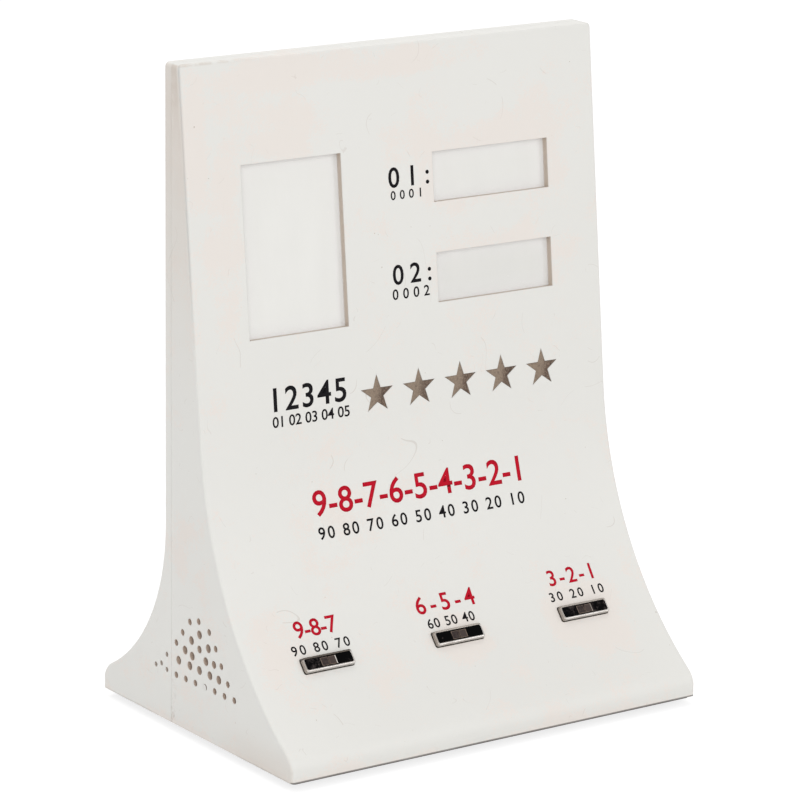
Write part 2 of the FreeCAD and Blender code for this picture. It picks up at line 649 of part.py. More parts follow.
def round_foot(body, toe):
    """Round the two corners of the base at one toe, seen from above."""
    sketch = sketch_on(body, "foot_corners", height="rim_z - overrun")
    for side in (-1, 1):
        across = "%d * (side_x + overrun)" % side
        edge, inner = "%d * side_x" % side, "%d * (side_x - foot_corner)" % side
        outside = "%s * (rear_y + overrun)" % toe
        flank, inset = "%s * rear_y" % toe, "%s * (rear_y - foot_corner)" % toe
        outline(sketch, [
            (across, inset), (across, outside), (inner, outside), (inner, flank),
            (edge, inset, "foot_corner", -side * int(toe)),
        ])
    pocket(body, sketch, "toe_height + toe_radius + 2 * overrun", upward=True)


def grille_holes(body, on_front):
    """Pierce the left wall of one shell with its share of the grille."""
    sketch = sketch_on(body, "grille", "YZ_Plane", height="-side_x + wall / 2")
    for along, up, kind in GRILLE_SHARES:
        y = "grille_y + grille_span * %s" % along
        if (number(y) < number("seam_plane")) == on_front:
            circle(sketch, y, "rim_z + grille_height + grille_rise * %s" % up, "hole_" + kind)
    pocket(body, sketch, "wall + 2 * overrun")


def corner_bosses(body, spots):
    """Grow screw bosses in corners of the base, each with a web to its side wall."""
    for index, (x, y) in enumerate(spots):
        side = -1 if x.startswith("-") else 1
        radius = "corner_boss_diameter / 2"
        low, high = "%s - %s" % (y, radius), "%s + %s" % (y, radius)
        web = "%d * (inner_x + embed)" % side
        sketch = sketch_on(body, "corner_boss_%d" % index, height="rim_z")
        outline(sketch, [
            (web, low), (web, high), (x, high),
            ("%s - %d * %s" % (x, side, radius), y, radius, side), (x, low, radius, side),
        ])
        pad(body, sketch, "corner_boss_height")
    holes = sketch_on(body, "corner_holes", height="rim_z")
    circles(holes, spots, "screw_core + 2 * hole_play")
    pocket(body, holes, "2 * (base_screw_length - plate_thickness - rim_gap + hole_play)")


def posts_on(body, name, frame, end, spots, diameter, depth):
    """Grow posts out of the wall of a leaning frame, each with a pilot hole for its screw."""
    posts = sketch_on(body, name, frame=frame, height=end)
    circles(posts, spots, diameter)
    pad(body, posts, "-wall + embed - (%s)" % end)
    holes = sketch_on(body, name + "_holes", frame=frame, height=end)
    circles(holes, spots, "small_core + 2 * hole_play")
    pocket(body, holes, "2 * (%s + hole_play)" % depth)


def speaker_bosses(body):
    """Grow the four small bosses that hold the speaker's rim on the left wall."""
    bosses = sketch_on(body, "clamp_bosses", "YZ_Plane", height="-inner_x - embed")
    circles(bosses, CLAMP_SPOTS, "clamp_boss")
    pad(body, bosses, "clamp_boss_height + embed")
    holes = sketch_on(body, "clamp_holes", "YZ_Plane", height="-inner_x + clamp_boss_height")
    circles(holes, CLAMP_SPOTS, "clamp_core + 2 * hole_play")
    pocket(body, holes, "2 * (clamp_screw_length + hole_play)")


def tie_bosses(body):
    """Grow the bosses for the screws that come through the back, from the seam to the face's wall."""
    for index, (x, z, face) in enumerate(TIE_SPOTS):
        sketch = sketch_on(body, "tie_boss_%d" % index, "XZ_Plane", height="-tie_meeting")
        circle(sketch, x, z, "tie_post")
        pad(body, sketch, "tie_meeting - %s - wall / 2" % face)
    holes = sketch_on(body, "tie_holes", "XZ_Plane", height="-tie_meeting")
    circles(holes, TIE_SPOTS, "screw_core + 2 * hole_play")
    pocket(body, holes, "2 * (tie_length - tie_floor)")


def front_shell():
    """Face, front part of both sides and of the top, with everything moulded inside it."""
    body = new_body("front_shell")
    sketch = sketch_on(body, "outline", "YZ_Plane")
    outline(sketch, [
        ("crest_y", "top_z"), ("sweep_y", "sweep_z"),
        ("front_y + toe_radius * (1 - sweep_cosine)", "rim_z + toe_height + toe_radius * sweep_sine",
         "sweep_radius", -1),
        ("front_y", "rim_z + toe_height", "toe_radius", 1), ("front_y", "rim_z"),
        ("front_seam", "rim_z"), ("front_seam", "top_z"),
    ])
    pad(body, sketch, "body_width", symmetric=True)
    rim, seam = number("rim_z"), number("front_seam")
    hollow_out(body, lambda face: flat_at(face, "z", rim) or flat_at(face, "y", seam))
    round_crown(body)
    dress_edges(body, "Fillet", "Radius", "edge_radius", "edges", is_outer_edge(seam))
    round_foot(body, "-1")

    windows = sketch_on(body, "windows", frame=FACE, height="-wall / 2")
    for x, drop, width, height in WINDOWS.values():
        rectangle(windows, x, "-" + drop, width, height)
    pocket(body, windows, "wall + 2 * overrun")
    stars = sketch_on(body, "stars", frame=FACE, height="-wall / 2")
    for step in range(-2, 3):
        star(stars, "star_x + %d * star_pitch" % step, "-star_drop", "star_reach", "star_waist")
    pocket(body, stars, "wall + 2 * overrun")
    keys = sketch_on(body, "key_holes", frame=KEY, height="-wall / 2")
    for name, x in KEYS:
        rectangle(keys, x, "0", "key_length + 2 * key_play", "key_width + 2 * key_play", "key_corner")
    pocket(body, keys, "wall + 2 * overrun")
    grille_holes(body, on_front=True)

    posts_on(body, "holder_bosses", FACE, "holder_front", HOLDER_SPOTS, "holder_boss",
             "holder_screw_length - holder_thickness")
    posts_on(body, "star_posts", FACE, "-star_board_depth", STAR_SPOTS, "post_diameter",
             "board_screw_length - board_thickness")
    posts_on(body, "key_posts", KEY, "key_board_top", KEY_SPOTS, "post_diameter",
             "board_screw_length - board_thickness")
    pegs = sketch_on(body, "lens_pegs", frame=FACE, height="-wall - peg_reach")
    circles(pegs, PEG_SPOTS, "peg_diameter")
    pad(body, pegs, "peg_reach + embed")
    speaker_bosses(body)
    tie_bosses(body)
    corner_bosses(body, [spot for spot in CORNER_SPOTS if spot[1].startswith("-")])
    node(body, "front_shell")


def tongues(body):
    """Grow the tongues that line the rear shell up inside the front shell."""
    for side in (-1, 1):
        for step in range(3):
            inner = "%d * (inner_x - seat_gap - tongue_thickness)" % side
            outer = "%d * (inner_x - seat_gap)" % side
            root = "%d * (inner_x + embed)" % side
            tip, heel = "front_seam - tongue_reach", "rear_seam + tongue_root"
            height = "rim_z + tongue_low + %d * tongue_pitch" % step
            sketch = sketch_on(body, "tongue_%d_%d" % (side + 1, step), height=height)
            outline(sketch, [(inner, tip), (outer, tip), (outer, "rear_seam"),
                             (root, "rear_seam"), (root, heel), (inner, heel)])
            pad(body, sketch, "tongue_width")


def rear_shell():
    """Back wall with its flare, the rear part of the sides and of the top, and the socket's recess."""
    body = new_body("rear_shell")
    sketch = sketch_on(body, "outline", "YZ_Plane")
    outline(sketch, [
        ("rear_seam", "rim_z"), ("rear_y", "rim_z"), ("rear_y", "rim_z + toe_height"),
        ("rear_y - toe_radius * (1 - flare_cosine)", "rim_z + toe_height + toe_radius * flare_sine",
         "toe_radius", 1),
        ("back_plane", "rim_z + flare_top", "flare_radius", -1),
        ("back_plane", "top_z"), ("rear_seam", "top_z"),
    ])
    pad(body, sketch, "body_width", symmetric=True)
    recess = sketch_on(body, "recess", "XZ_Plane", height="-recess_plane")
    rectangle(recess, "0", "rim_z + recess_floor + recess_rise / 2", "recess_width", "recess_rise")
    pocket(body, recess, "rear_y - recess_plane + overrun", symmetric=False)
    rim, seam = number("rim_z"), number("rear_seam")
    hollow_out(body, lambda face: flat_at(face, "z", rim) or flat_at(face, "y", seam))
    round_crown(body)
    dress_edges(body, "Fillet", "Radius", "edge_radius", "edges", is_outer_edge(seam))
    round_foot(body, "1")
    mouth = sketch_on(body, "socket_hole", "XZ_Plane", height="-recess_plane + wall / 2")
    rectangle(mouth, "0", "socket_foot + socket_height / 2", "socket_width + 2 * socket_play",
              "socket_height + 2 * socket_play")
    pocket(body, mouth, "wall + 2 * overrun")
    grille_holes(body, on_front=False)

    wells = sketch_on(body, "tie_wells", "XZ_Plane", height="-tie_meeting - seat_gap")
    circles(wells, TIE_SPOTS, "tie_well")
    pad(body, wells, "tie_recess_depth + tie_floor - wall + embed", downward=True)
    holes = sketch_on(body, "tie_holes", "XZ_Plane", height="-tie_meeting - seat_gap")
    circles(holes, TIE_SPOTS, "screw_core + 2 * hole_play")
    pocket(body, holes, "2 * (tie_recess_depth + tie_floor + overrun)")
    recesses = sketch_on(body, "tie_recesses", "XZ_Plane", height="-back_plane")
    circles(recesses, TIE_SPOTS, "tie_recess")
    pocket(body, recesses, "2 * tie_recess_depth")
    tongues(body)
    corner_bosses(body, [spot for spot in CORNER_SPOTS if not spot[1].startswith("-")])
    node(body, "rear_shell")


def base_plate():
    """Sheet steel plate under the housing."""
    body = new_body("base_plate")
    sketch = sketch_on(body, "outline", height="foot_height")
    rectangle(sketch, "0", "0", "body_width - 2 * plate_inset", "body_depth - 2 * plate_inset", "plate_corner")
    pad(body, sketch, "plate_thickness")
    holes = sketch_on(body, "holes", height="plate_top")
    circles(holes, CORNER_SPOTS, "screw_core + 2 * hole_play")
    pocket(body, holes, "2 * (plate_thickness + overrun)")
    node(body, "base_plate")


def rubber_feet():
    """Four round feet stuck under the base plate, narrower where they stand."""
    body = new_body("rubber_feet", several=True)
    sketch = sketch_on(body, "outline")
    spots = [(across + "(side_x - foot_inset)", along + "(rear_y - foot_inset)")
             for across in ("-", "") for along in ("-", "")]
    circles(sketch, spots, "foot_diameter")
    pad(body, sketch, "foot_height")
    dress_edges(body, "Chamfer", "Size", "foot_taper", "taper", lambda edge: flat_at(edge, "z", 0))
    node(body, "rubber_feet")


def screws(name, spots, head, head_height, core, length, outward=True, **where):
    """Make like screws from the plane that their heads bear on. The heads grow along its normal."""
    body = new_body(name, several=True)
    heads = sketch_on(body, "heads", **where)
    circles(heads, spots, head)
    pad(body, heads, head_height, downward=not outward)
    shanks = sketch_on(body, "shanks", **where)
    circles(shanks, spots, core)
    pad(body, shanks, length, downward=outward)
    node(body, name)


def card_holder():
    """White plate behind the windows, with a shallow pocket for each card."""
    body = new_body("card_holder")
    sketch = sketch_on(body, "outline", height="holder_back")
    rectangle(sketch, "0", "-photo_drop", "holder_width", "holder_height", "holder_corner")
    pad(body, sketch, "holder_thickness")
    pockets = sketch_on(body, "pockets", height="holder_front")
    for x, drop, width, height in WINDOWS.values():
        rectangle(pockets, x, "-" + drop, width + " + pane_lap + 2 * card_play",
                  height + " + pane_lap + 2 * card_play")
    pocket(body, pockets, "2 * card_pocket")
    holes = sketch_on(body, "holes", height="holder_front")
    circles(holes, HOLDER_SPOTS, "small_core + 2 * hole_play")
    pocket(body, holes, "2 * (holder_thickness + overrun)")
    seat(body, FACE)
    node(body, "card_holder")


def panes_and_cards():
    """A clear pane behind each window, and a card in the holder's pocket behind each pane."""
    for name, (x, drop, width, height) in WINDOWS.items():
        pane = new_body(name + "_pane")
        sketch = sketch_on(pane, "outline", height="-wall - pane_thickness")
        rectangle(sketch, x, "-" + drop, width + " + 2 * pane_lap", height + " + 2 * pane_lap")
        pad(pane, sketch, "pane_thickness")
        seat(pane, FACE)
        node(pane, name + "_pane")
        card = new_body(name + "_card")
        sketch = sketch_on(card, "outline", height="holder_front - card_pocket")
        rectangle(sketch, x, "-" + drop, width + " + pane_lap", height + " + pane_lap")
        pad(card, sketch, "card_thickness")
        seat(card, FACE)
        node(card, name + "_card")


def star_lens():
    """Smoky strip behind the wall, with a raised star that fills each cut-out."""
    body = new_body("star_lens")
    strip = sketch_on(body, "strip", height="lens_back")
    rectangle(strip, "star_x", "-star_drop", "lens_width", "lens_height", "lens_corner")
    pad(body, strip, "lens_thickness")
    lands = sketch_on(body, "stars", height="lens_back")
    for step in range(-2, 3):
        star(lands, "star_x + %d * star_pitch" % step, "-star_drop", "star_reach - 3 * star_play",
             "star_waist - star_play")
    pad(body, lands, "wall + lens_thickness - star_sink")
    holes = sketch_on(body, "holes", height="lens_back")
    circles(holes, PEG_SPOTS, "peg_diameter + 2 * hole_play")
    pocket(body, holes, "2 * (lens_thickness + overrun)")
    seat(body, FACE)
    node(body, "star_lens")


def lamps(name, spots, frame, foot, height):
    """Make like lamps: a collar on the board and a body with a rounded top."""
    body = new_body(name, several=True)
    collars = sketch_on(body, "collars", height=foot)
    circles(collars, spots, "lamp_diameter + 2 * lamp_collar")
    pad(body, collars, "lamp_collar_height")
    bulbs = sketch_on(body, "bulbs", height=foot)
    circles(bulbs, spots, "lamp_diameter")
    pad(body, bulbs, height)
    top = number("%s + %s" % (foot, height))
    dress_edges(body, "Chamfer", "Size", "lamp_diameter / 4", "tops", lambda edge: flat_at(edge, "z", top))
    seat(body, frame)
    node(body, name)


def leaning_board(name, frame, top, x, y, width, height, spots):
    """Make a circuit board that lies in a leaning frame, with its screw holes."""
    body = new_body(name)
    sketch = sketch_on(body, "outline", height="%s - board_thickness" % top)
    rectangle(sketch, x, y, width, height)
    pad(body, sketch, "board_thickness")
    holes = sketch_on(body, "holes", height=top)
    circles(holes, spots, "small_core + 2 * hole_play")
    pocket(body, holes, "2 * (board_thickness + overrun)")
    seat(body, frame)
    node(body, name)


def star_unit():
    """Board with a lamp behind each star, on two posts of the front shell."""
    leaning_board("star_board", FACE, "-star_board_depth", "star_x", "-star_drop",
                  "star_board_width", "star_board_height", STAR_SPOTS)
    spots = [("star_x + %d * star_pitch" % step, "-star_drop") for step in range(-2, 3)]
    lamps("star_lamps", spots, FACE, "-star_board_depth", "star_lamp_height")


def key_unit():
    """Board under the keys with its switches and lamps, on four posts of the front shell."""
    leaning_board("key_board", KEY, "key_board_top", "0", "0", "key_board_length", "key_board_width", KEY_SPOTS)
    lamps("key_lamps", [(x, "0") for name, x in KEYS], KEY, "key_board_top", "key_lamp_height")
    body = new_body("switch_bodies", several=True)
    spots = [("%s %s switch_offset" % (x, sign), "0") for name, x in KEYS for sign in ("-", "+")]
    sketch = sketch_on(body, "outline", height="key_board_top")
    for x, y in spots:
        rectangle(sketch, x, y, "switch_size", "switch_size")
    pad(body, sketch, "switch_height")
    bores = sketch_on(body, "bores", height="switch_top")
    circles(bores, spots, "stem_diameter + 2 * stem_play")
    pocket(body, bores, "2 * (switch_height - stem_floor)")
    seat(body, KEY)
    node(body, "switch_bodies")


def key_cap(name, x):
    """Plated cap: a flange behind the wall, a rounded rim, a bed for the lens and two stem sockets."""
    body = new_body(name + "_key_cap")
    flange = sketch_on(body, "flange", height="flange_foot")
    rectangle(flange, "0", "0", "key_length + 2 * flange_lap", "key_width + 2 * flange_lap", "key_corner")
    pad(body, flange, "flange_thickness")
    block = sketch_on(body, "block", height="flange_foot")
    rectangle(block, "0", "0", "key_length", "key_width", "key_corner")
    pad(body, block, "key_proud - flange_foot")
    top = number("key_proud")
    dress_edges(body, "Fillet", "Radius", "key_bevel", "bevel", lambda edge: flat_at(edge, "z", top))
    bed = sketch_on(body, "bed", height="key_proud")
    rectangle(bed, "0", "0", "key_lens_length + 2 * key_lens_play", "key_lens_width + 2 * key_lens_play",
              "key_lens_corner")
    pocket(body, bed, "2 * (key_lens_sink + key_lens_thickness)")
    shaft = sketch_on(body, "shaft")
    rectangle(shaft, "0", "0", "guide_length + 2 * guide_play", "guide_width + 2 * guide_play")
    pocket(body, shaft, "2 * (overrun - flange_foot)")
    sockets = sketch_on(body, "sockets", height="flange_foot")
    circles(sockets, [("-switch_offset", "0"), ("switch_offset", "0")], "stem_diameter + 2 * hole_play")
    pocket(body, sockets, "2 * stem_seat")
    seat(body, KEY, x)
    node(body, name + "_key_cap")


def key_lens(name, x):
    """Glossy black lens in the cap, open in the middle for the light guide."""
    body = new_body(name + "_key_lens")
    sketch = sketch_on(body, "outline", height="key_proud - key_lens_sink - key_lens_thickness")
    rectangle(sketch, "0", "0", "key_lens_length", "key_lens_width", "key_lens_corner")
    pad(body, sketch, "key_lens_thickness")
    opening = sketch_on(body, "opening", height="key_proud")
    rectangle(opening, "0", "0", "guide_length + 2 * guide_play", "guide_width + 2 * guide_play")
    pocket(body, opening, "2 * (key_proud + wall)")
    seat(body, KEY, x)
    node(body, name + "_key_lens")


def light_guide(name, x):
    """Smoky block that carries the lamp's light to the key's top, parted in two by a groove."""
    body = new_body(name + "_light_guide")
    sketch = sketch_on(body, "outline", height="-guide_depth")
    rectangle(sketch, "0", "0", "guide_length", "guide_width")
    pad(body, sketch, "guide_depth + key_proud - key_lens_sink")
    groove = sketch_on(body, "groove", height="key_proud - key_lens_sink")
    rectangle(groove, "0", "0", "guide_groove", "guide_width + 2 * overrun")
    pocket(body, groove, "2 * guide_groove_depth")
    seat(body, KEY, x)
    node(body, name + "_light_guide")


def switch_stems(name, x):
    """The two switch stems that a key presses."""
    body = new_body(name + "_switch_stems", several=True)
    sketch = sketch_on(body, "outline", height="switch_top - stem_root")
    circles(sketch, [("-switch_offset", "0"), ("switch_offset", "0")], "stem_diameter")
    pad(body, sketch, "stem_root + stem_reach + stem_seat")
    seat(body, KEY, x)
    node(body, name + "_switch_stems")


def speaker():
    """Small speaker behind the grille: basket, cone and magnet on one axis across the housing."""
    basket = new_body("speaker_basket")
    rim, skirt, back = "speaker_diameter / 2", "speaker_skirt / 2", "speaker_back / 2"
    profile = sketch_on(basket, "profile", "XZ_Plane")
    outline(profile, [
        (skirt, "0"), (rim, "0"), (rim, "speaker_rim"), (skirt + " + basket_wall", "speaker_rim"),
        (back + " + basket_wall", "speaker_depth"), ("0", "speaker_depth"),
        ("0", "speaker_depth - basket_wall"), (back, "speaker_depth - basket_wall"),
    ])
    revolve(basket, profile)
    cone = new_body("speaker_cone")
    edge, middle = skirt + " - cone_play", "cone_middle / 2"
    profile = sketch_on(cone, "profile", "XZ_Plane")
    outline(profile, [
        (edge, "cone_thickness"), (edge, "2 * cone_thickness"), (middle, "cone_sink + cone_thickness"),
        ("0", "cone_sink + cone_thickness"), ("0", "cone_sink"), (middle, "cone_sink"),
    ])
    revolve(cone, profile)
    magnet = new_body("speaker_magnet")
    sketch = sketch_on(magnet, "outline", height="speaker_depth")
    circle(sketch, "0", "0", "magnet_diameter")
    pad(magnet, sketch, "magnet_depth")
    for body in (basket, cone, magnet):
        place(body, "-inner_x", "speaker_y", "speaker_z", "90", axis=(0, 1, 0))
        node(body, body.Name)


def main_unit():
    """Main board on four spacers above the base plate, with the parts that stand on it."""
    board = new_body("main_board")
    sketch = sketch_on(board, "outline", height="main_board_height")
    rectangle(sketch, "0", "(main_board_front + main_board_rear) / 2", "main_board_width", "main_board_depth")
    pad(board, sketch, "board_thickness")
    holes = sketch_on(board, "holes", height="main_board_top")
    circles(holes, MAIN_SPOTS, "small_core + 2 * hole_play")
    pocket(board, holes, "2 * (board_thickness + overrun)")
    node(board, "main_board")

    spacers = new_body("board_spacers", several=True)
    sketch = sketch_on(spacers, "outline", height="plate_top")
    circles(sketch, MAIN_SPOTS, "spacer_diameter")
    pad(spacers, sketch, "main_board_height - plate_top")
    holes = sketch_on(spacers, "holes", height="main_board_height")
    circles(holes, MAIN_SPOTS, "small_core + 2 * hole_play")
    pocket(spacers, holes, "2 * (board_screw_length - board_thickness + hole_play)")
    node(spacers, "board_spacers")

    chips = new_body("main_board_chips", several=True)
    for name, shares, width, depth, height in (
        ("processor", PROCESSOR_SHARES, "chip_size", "chip_size", "chip_height"),
        ("sound_chip", SOUND_CHIP_SHARES, "sound_chip_length", "sound_chip_width", "sound_chip_height"),
        ("crystal", CRYSTAL_SHARES, "crystal_length", "crystal_width", "crystal_height"),
    ):
        sketch = sketch_on(chips, name, height="main_board_top")
        x, y = on_main_board(shares)
        rectangle(sketch, x, y, width, depth)
        pad(chips, sketch, height)
    sketch = sketch_on(chips, "cans", height="main_board_top")
    circles(sketch, [on_main_board(shares) for shares in CAN_SHARES], "can_diameter")
    pad(chips, sketch, "can_height")
    node(chips, "main_board_chips")


def data_socket():
    """Square data socket on the main board's rear edge, open towards the recess."""
    body = new_body("data_socket")
    block = sketch_on(body, "outline", height="socket_foot")
    rectangle(block, "0", "socket_rear - socket_length / 2", "socket_width", "socket_length")
    pad(body, block, "socket_height")
    mouth = sketch_on(body, "mouth", "XZ_Plane", height="-socket_rear")
    left, right = "-mouth_width / 2", "mouth_width / 2"
    low = "socket_foot + (socket_height - mouth_height) / 2"
    high = low + " + mouth_height"
    outline(mouth, [
        (left, low), (right, low), (right, high + " - mouth_chamfer"), (right + " - mouth_chamfer", high),
        (left + " + mouth_chamfer", high), (left, high + " - mouth_chamfer"),
    ])
    pocket(body, mouth, "2 * mouth_depth")
    contact = sketch_on(body, "contact_block", "XZ_Plane", height="-socket_rear + mouth_depth + embed")
    rectangle(contact, "0", "socket_foot + socket_height / 2", "tongue_block_width", "tongue_block_height")
    pad(body, contact, "tongue_block_length + embed", downward=True)
    node(body, "data_socket")


def plugs():
    """Plugs of the two ribbons and of the speaker's lead, where they stand on their boards."""
    body = new_body("main_board_plugs", several=True)
    for name, (x, y) in PLUG_SPOTS.items():
        sketch = sketch_on(body, name, height="main_board_top")
        size = ("lead_plug", "lead_plug") if name == "lead" else ("plug_length", "plug_width")
        rectangle(sketch, x, y, *size)
        pad(body, sketch, "plug_height")
    node(body, "main_board_plugs")
    for name, frame, back, x, y in (
        ("key_board_plug", KEY, "key_board_top - board_thickness", "0", "0"),
        ("star_board_plug", FACE, "-star_board_depth - board_thickness", "star_plug_x", "-star_drop"),
    ):
        body = new_body(name)
        sketch = sketch_on(body, "outline", height=back + " - plug_height")
        rectangle(sketch, x, y, "plug_length", "plug_width")
        pad(body, sketch, "plug_height")
        seat(body, frame)
        node(body, name)


def rounded_path(points):
    """Join points by straight runs and tangent arcs as large as the runs allow."""
    edges, start = [], points[0]
    for before, corner, after in zip(points, points[1:], points[2:]):
        back, onward = before - corner, after - corner
        reach = BEND_SHARE * min(back.Length, onward.Length)
        half_turn = (math.pi - back.getAngle(onward)) / 2
        radius = reach / math.tan(half_turn)
        print("bend of radius %.1f" % radius)
        back.normalize()
        onward.normalize()
        entry, leave = corner + back * reach, corner + onward * reach
        inward = (back + onward).normalize()
        middle = corner + inward * radius * (1 / math.cos(half_turn) - 1)
        edges.append(Part.LineSegment(start, entry).toShape())
        edges.append(Part.Arc(entry, middle, leave).toShape())
        start = leave
    edges.append(Part.LineSegment(start, points[-1]).toShape())
    return Part.Wire(edges)


def swept(name, path, section, area, flat):
    """Sweep a section along a path, and compare the volume with the section times the length."""
    sweep = Part.BRepOffsetAPI.MakePipeShell(path)
    if flat:
        sweep.setBiNormalMode(FreeCAD.Vector(1, 0, 0))
    sweep.add(section)
    sweep.build()
    sweep.makeSolid()
    feature = doc.addObject("Part::Feature", name)
    feature.Shape = sweep.shape()
    feature.Placement = FreeCAD.Placement()
    share = feature.Shape.Volume / (area * path.Length)
    print("%s: %.1f long, volume %.3f of section times length" % (name, path.Length, share))
    node(feature, name)


def ribbon(name, start, points):
    """Sweep a flat ribbon along points in one upright plane."""
    run = (points[0] - start).normalize()
    across = FreeCAD.Vector(number("ribbon_width / 2"), 0, 0)
    through = FreeCAD.Vector(0, -run.z, run.y) * number("ribbon_thickness / 2")
    corners = [start - across - through, start + across - through,
               start + across + through, start - across + through]
    path = rounded_path([start] + points)
    swept(name, path, Part.makePolygon(corners + corners[:1]), number("ribbon_width * ribbon_thickness"), True)


def in_frame(frame, x, along, depth):
    """A point of a leaning frame, given up its slope and along its normal."""
    y, z, turn = frame
    middle = FreeCAD.Vector(number(x), number(y), number(z))
    lean = FreeCAD.Rotation(FreeCAD.Vector(1, 0, 0), number(turn))
    return middle + lean.multVec(FreeCAD.Vector(0, number(along), number(depth)))


def key_ribbon():
    """Ribbon from the key board's plug up, over and down to the main board."""
    depth = "key_board_top - board_thickness - plug_height / 2"
    start = in_frame(KEY, "0", "plug_width / 2", depth)
    crest = in_frame(KEY, "0", "plug_width / 2 + ribbon_rise", depth)
    x, y = PLUG_SPOTS["keys"]
    end = FreeCAD.Vector(number(x), number(y), number("main_board_top + plug_height"))
    turn = FreeCAD.Vector(end.x, end.y, crest.z - number("ribbon_dip"))
    ribbon("key_ribbon", start, [crest, turn, end])


def star_ribbon():
    """Ribbon from the star board's plug down along the back wall to the main board."""
    depth = "-star_board_depth - board_thickness - plug_height / 2"
    start = in_frame(FACE, "star_plug_x", "-star_drop - plug_width / 2", depth)
    x, y = PLUG_SPOTS["stars"]
    end = FreeCAD.Vector(number(x), number(y), number("main_board_top + plug_height"))
    points = []
    for way, wave in STAR_RIBBON_SHARES:
        sideways = FreeCAD.Vector(0, wave * number("ribbon_wave"), 0)
        points.append(start + (end - start) * way + sideways)
    ribbon("star_ribbon", start, points + [end])


def speaker_lead():
    """Round lead from the speaker's basket to its plug on the main board."""
    low = "speaker_z - speaker_back / 2 + lead_diameter / 2"
    start = FreeCAD.Vector(number("-inner_x + speaker_depth"), number("speaker_y"), number(low))
    x, y = PLUG_SPOTS["lead"]
    end = FreeCAD.Vector(number(x), number(y), number("main_board_top + plug_height"))
    points = [start]
    for way, rise in SPEAKER_LEAD_SHARES:
        level = start.z + rise * number("lead_rise")
        points.append(FreeCAD.Vector(start.x + (end.x - start.x) * way, start.y + (end.y - start.y) * way, level))
    points.append(end)
    radius = number("lead_diameter / 2")
    section = Part.Wire(Part.makeCircle(radius, start, FreeCAD.Vector(1, 0, 0)))
    swept("speaker_lead", rounded_path(points), section, math.pi * radius ** 2, False)


def all_screws():
    """Every screw, as groups of like ones."""
    case = ("screw_head", "screw_head_height", "screw_core")
    small = ("small_head", "small_head_height", "small_core")
    screws("base_screws", CORNER_SPOTS, *case, "base_screw_length", outward=False, height="foot_height")
    screws("shell_screws", TIE_SPOTS, "screw_head", "tie_head_height", "screw_core", "tie_length",
           outward=False, plane="XZ_Plane", height="-tie_seat")
    screws("holder_screws", HOLDER_SPOTS, *small, "holder_screw_length", outward=False,
           frame=FACE, height="holder_back")
    screws("star_board_screws", STAR_SPOTS, *small, "board_screw_length", outward=False,
           frame=FACE, height="-star_board_depth - board_thickness")
    screws("key_board_screws", KEY_SPOTS, *small, "board_screw_length", outward=False,
           frame=KEY, height="key_board_top - board_thickness")
    screws("main_board_screws", MAIN_SPOTS, *small, "board_screw_length", height="main_board_top")
    screws("speaker_screws", CLAMP_SPOTS, "clamp_head", "small_head_height", "clamp_core", "clamp_screw_length",
           plane="YZ_Plane", height="-inner_x + clamp_boss_height")


def write_parts():
    """Make sure that nothing failed, then write each sub-part."""
    doc.recompute()
    for thing in doc.Objects:
        if "Invalid" in thing.State or "Error" in thing.State:
            raise RuntimeError(thing.Name + " failed")
    for thing in NODES:
        if thing.Shape.isNull() or not thing.Shape.isValid():
            raise RuntimeError(thing.Label + " has no valid shape")
    os.makedirs("parts", exist_ok=True)
    for thing in NODES:
        thing.Shape.exportStep("parts/%s.step" % thing.Label)
        print("%s: %d solids, %.0f cubic millimetres" % (thing.Label, len(thing.Shape.Solids), thing.Shape.Volume))


fill_sheets()
front_shell()
rear_shell()
base_plate()
rubber_feet()
card_holder()
panes_and_cards()
star_lens()
star_unit()
key_unit()
for key_name, key_x in KEYS:
    key_cap(key_name, key_x)
    key_lens(key_name, key_x)
    light_guide(key_name, key_x)
    switch_stems(key_name, key_x)
speaker()
main_unit()
data_socket()
plugs()
key_ribbon()
star_ribbon()
speaker_lead()
all_screws()
write_parts()
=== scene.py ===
"""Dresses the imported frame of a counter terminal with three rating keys.

Every finish is built from nodes, and the prints, screw heads and socket contacts are modelled here.
All lengths are metres in the frame's own coordinates.
"""

import json
import math

import bpy
from bpy.props import FloatProperty, FloatVectorProperty, PointerProperty
from mathutils import Matrix, Vector

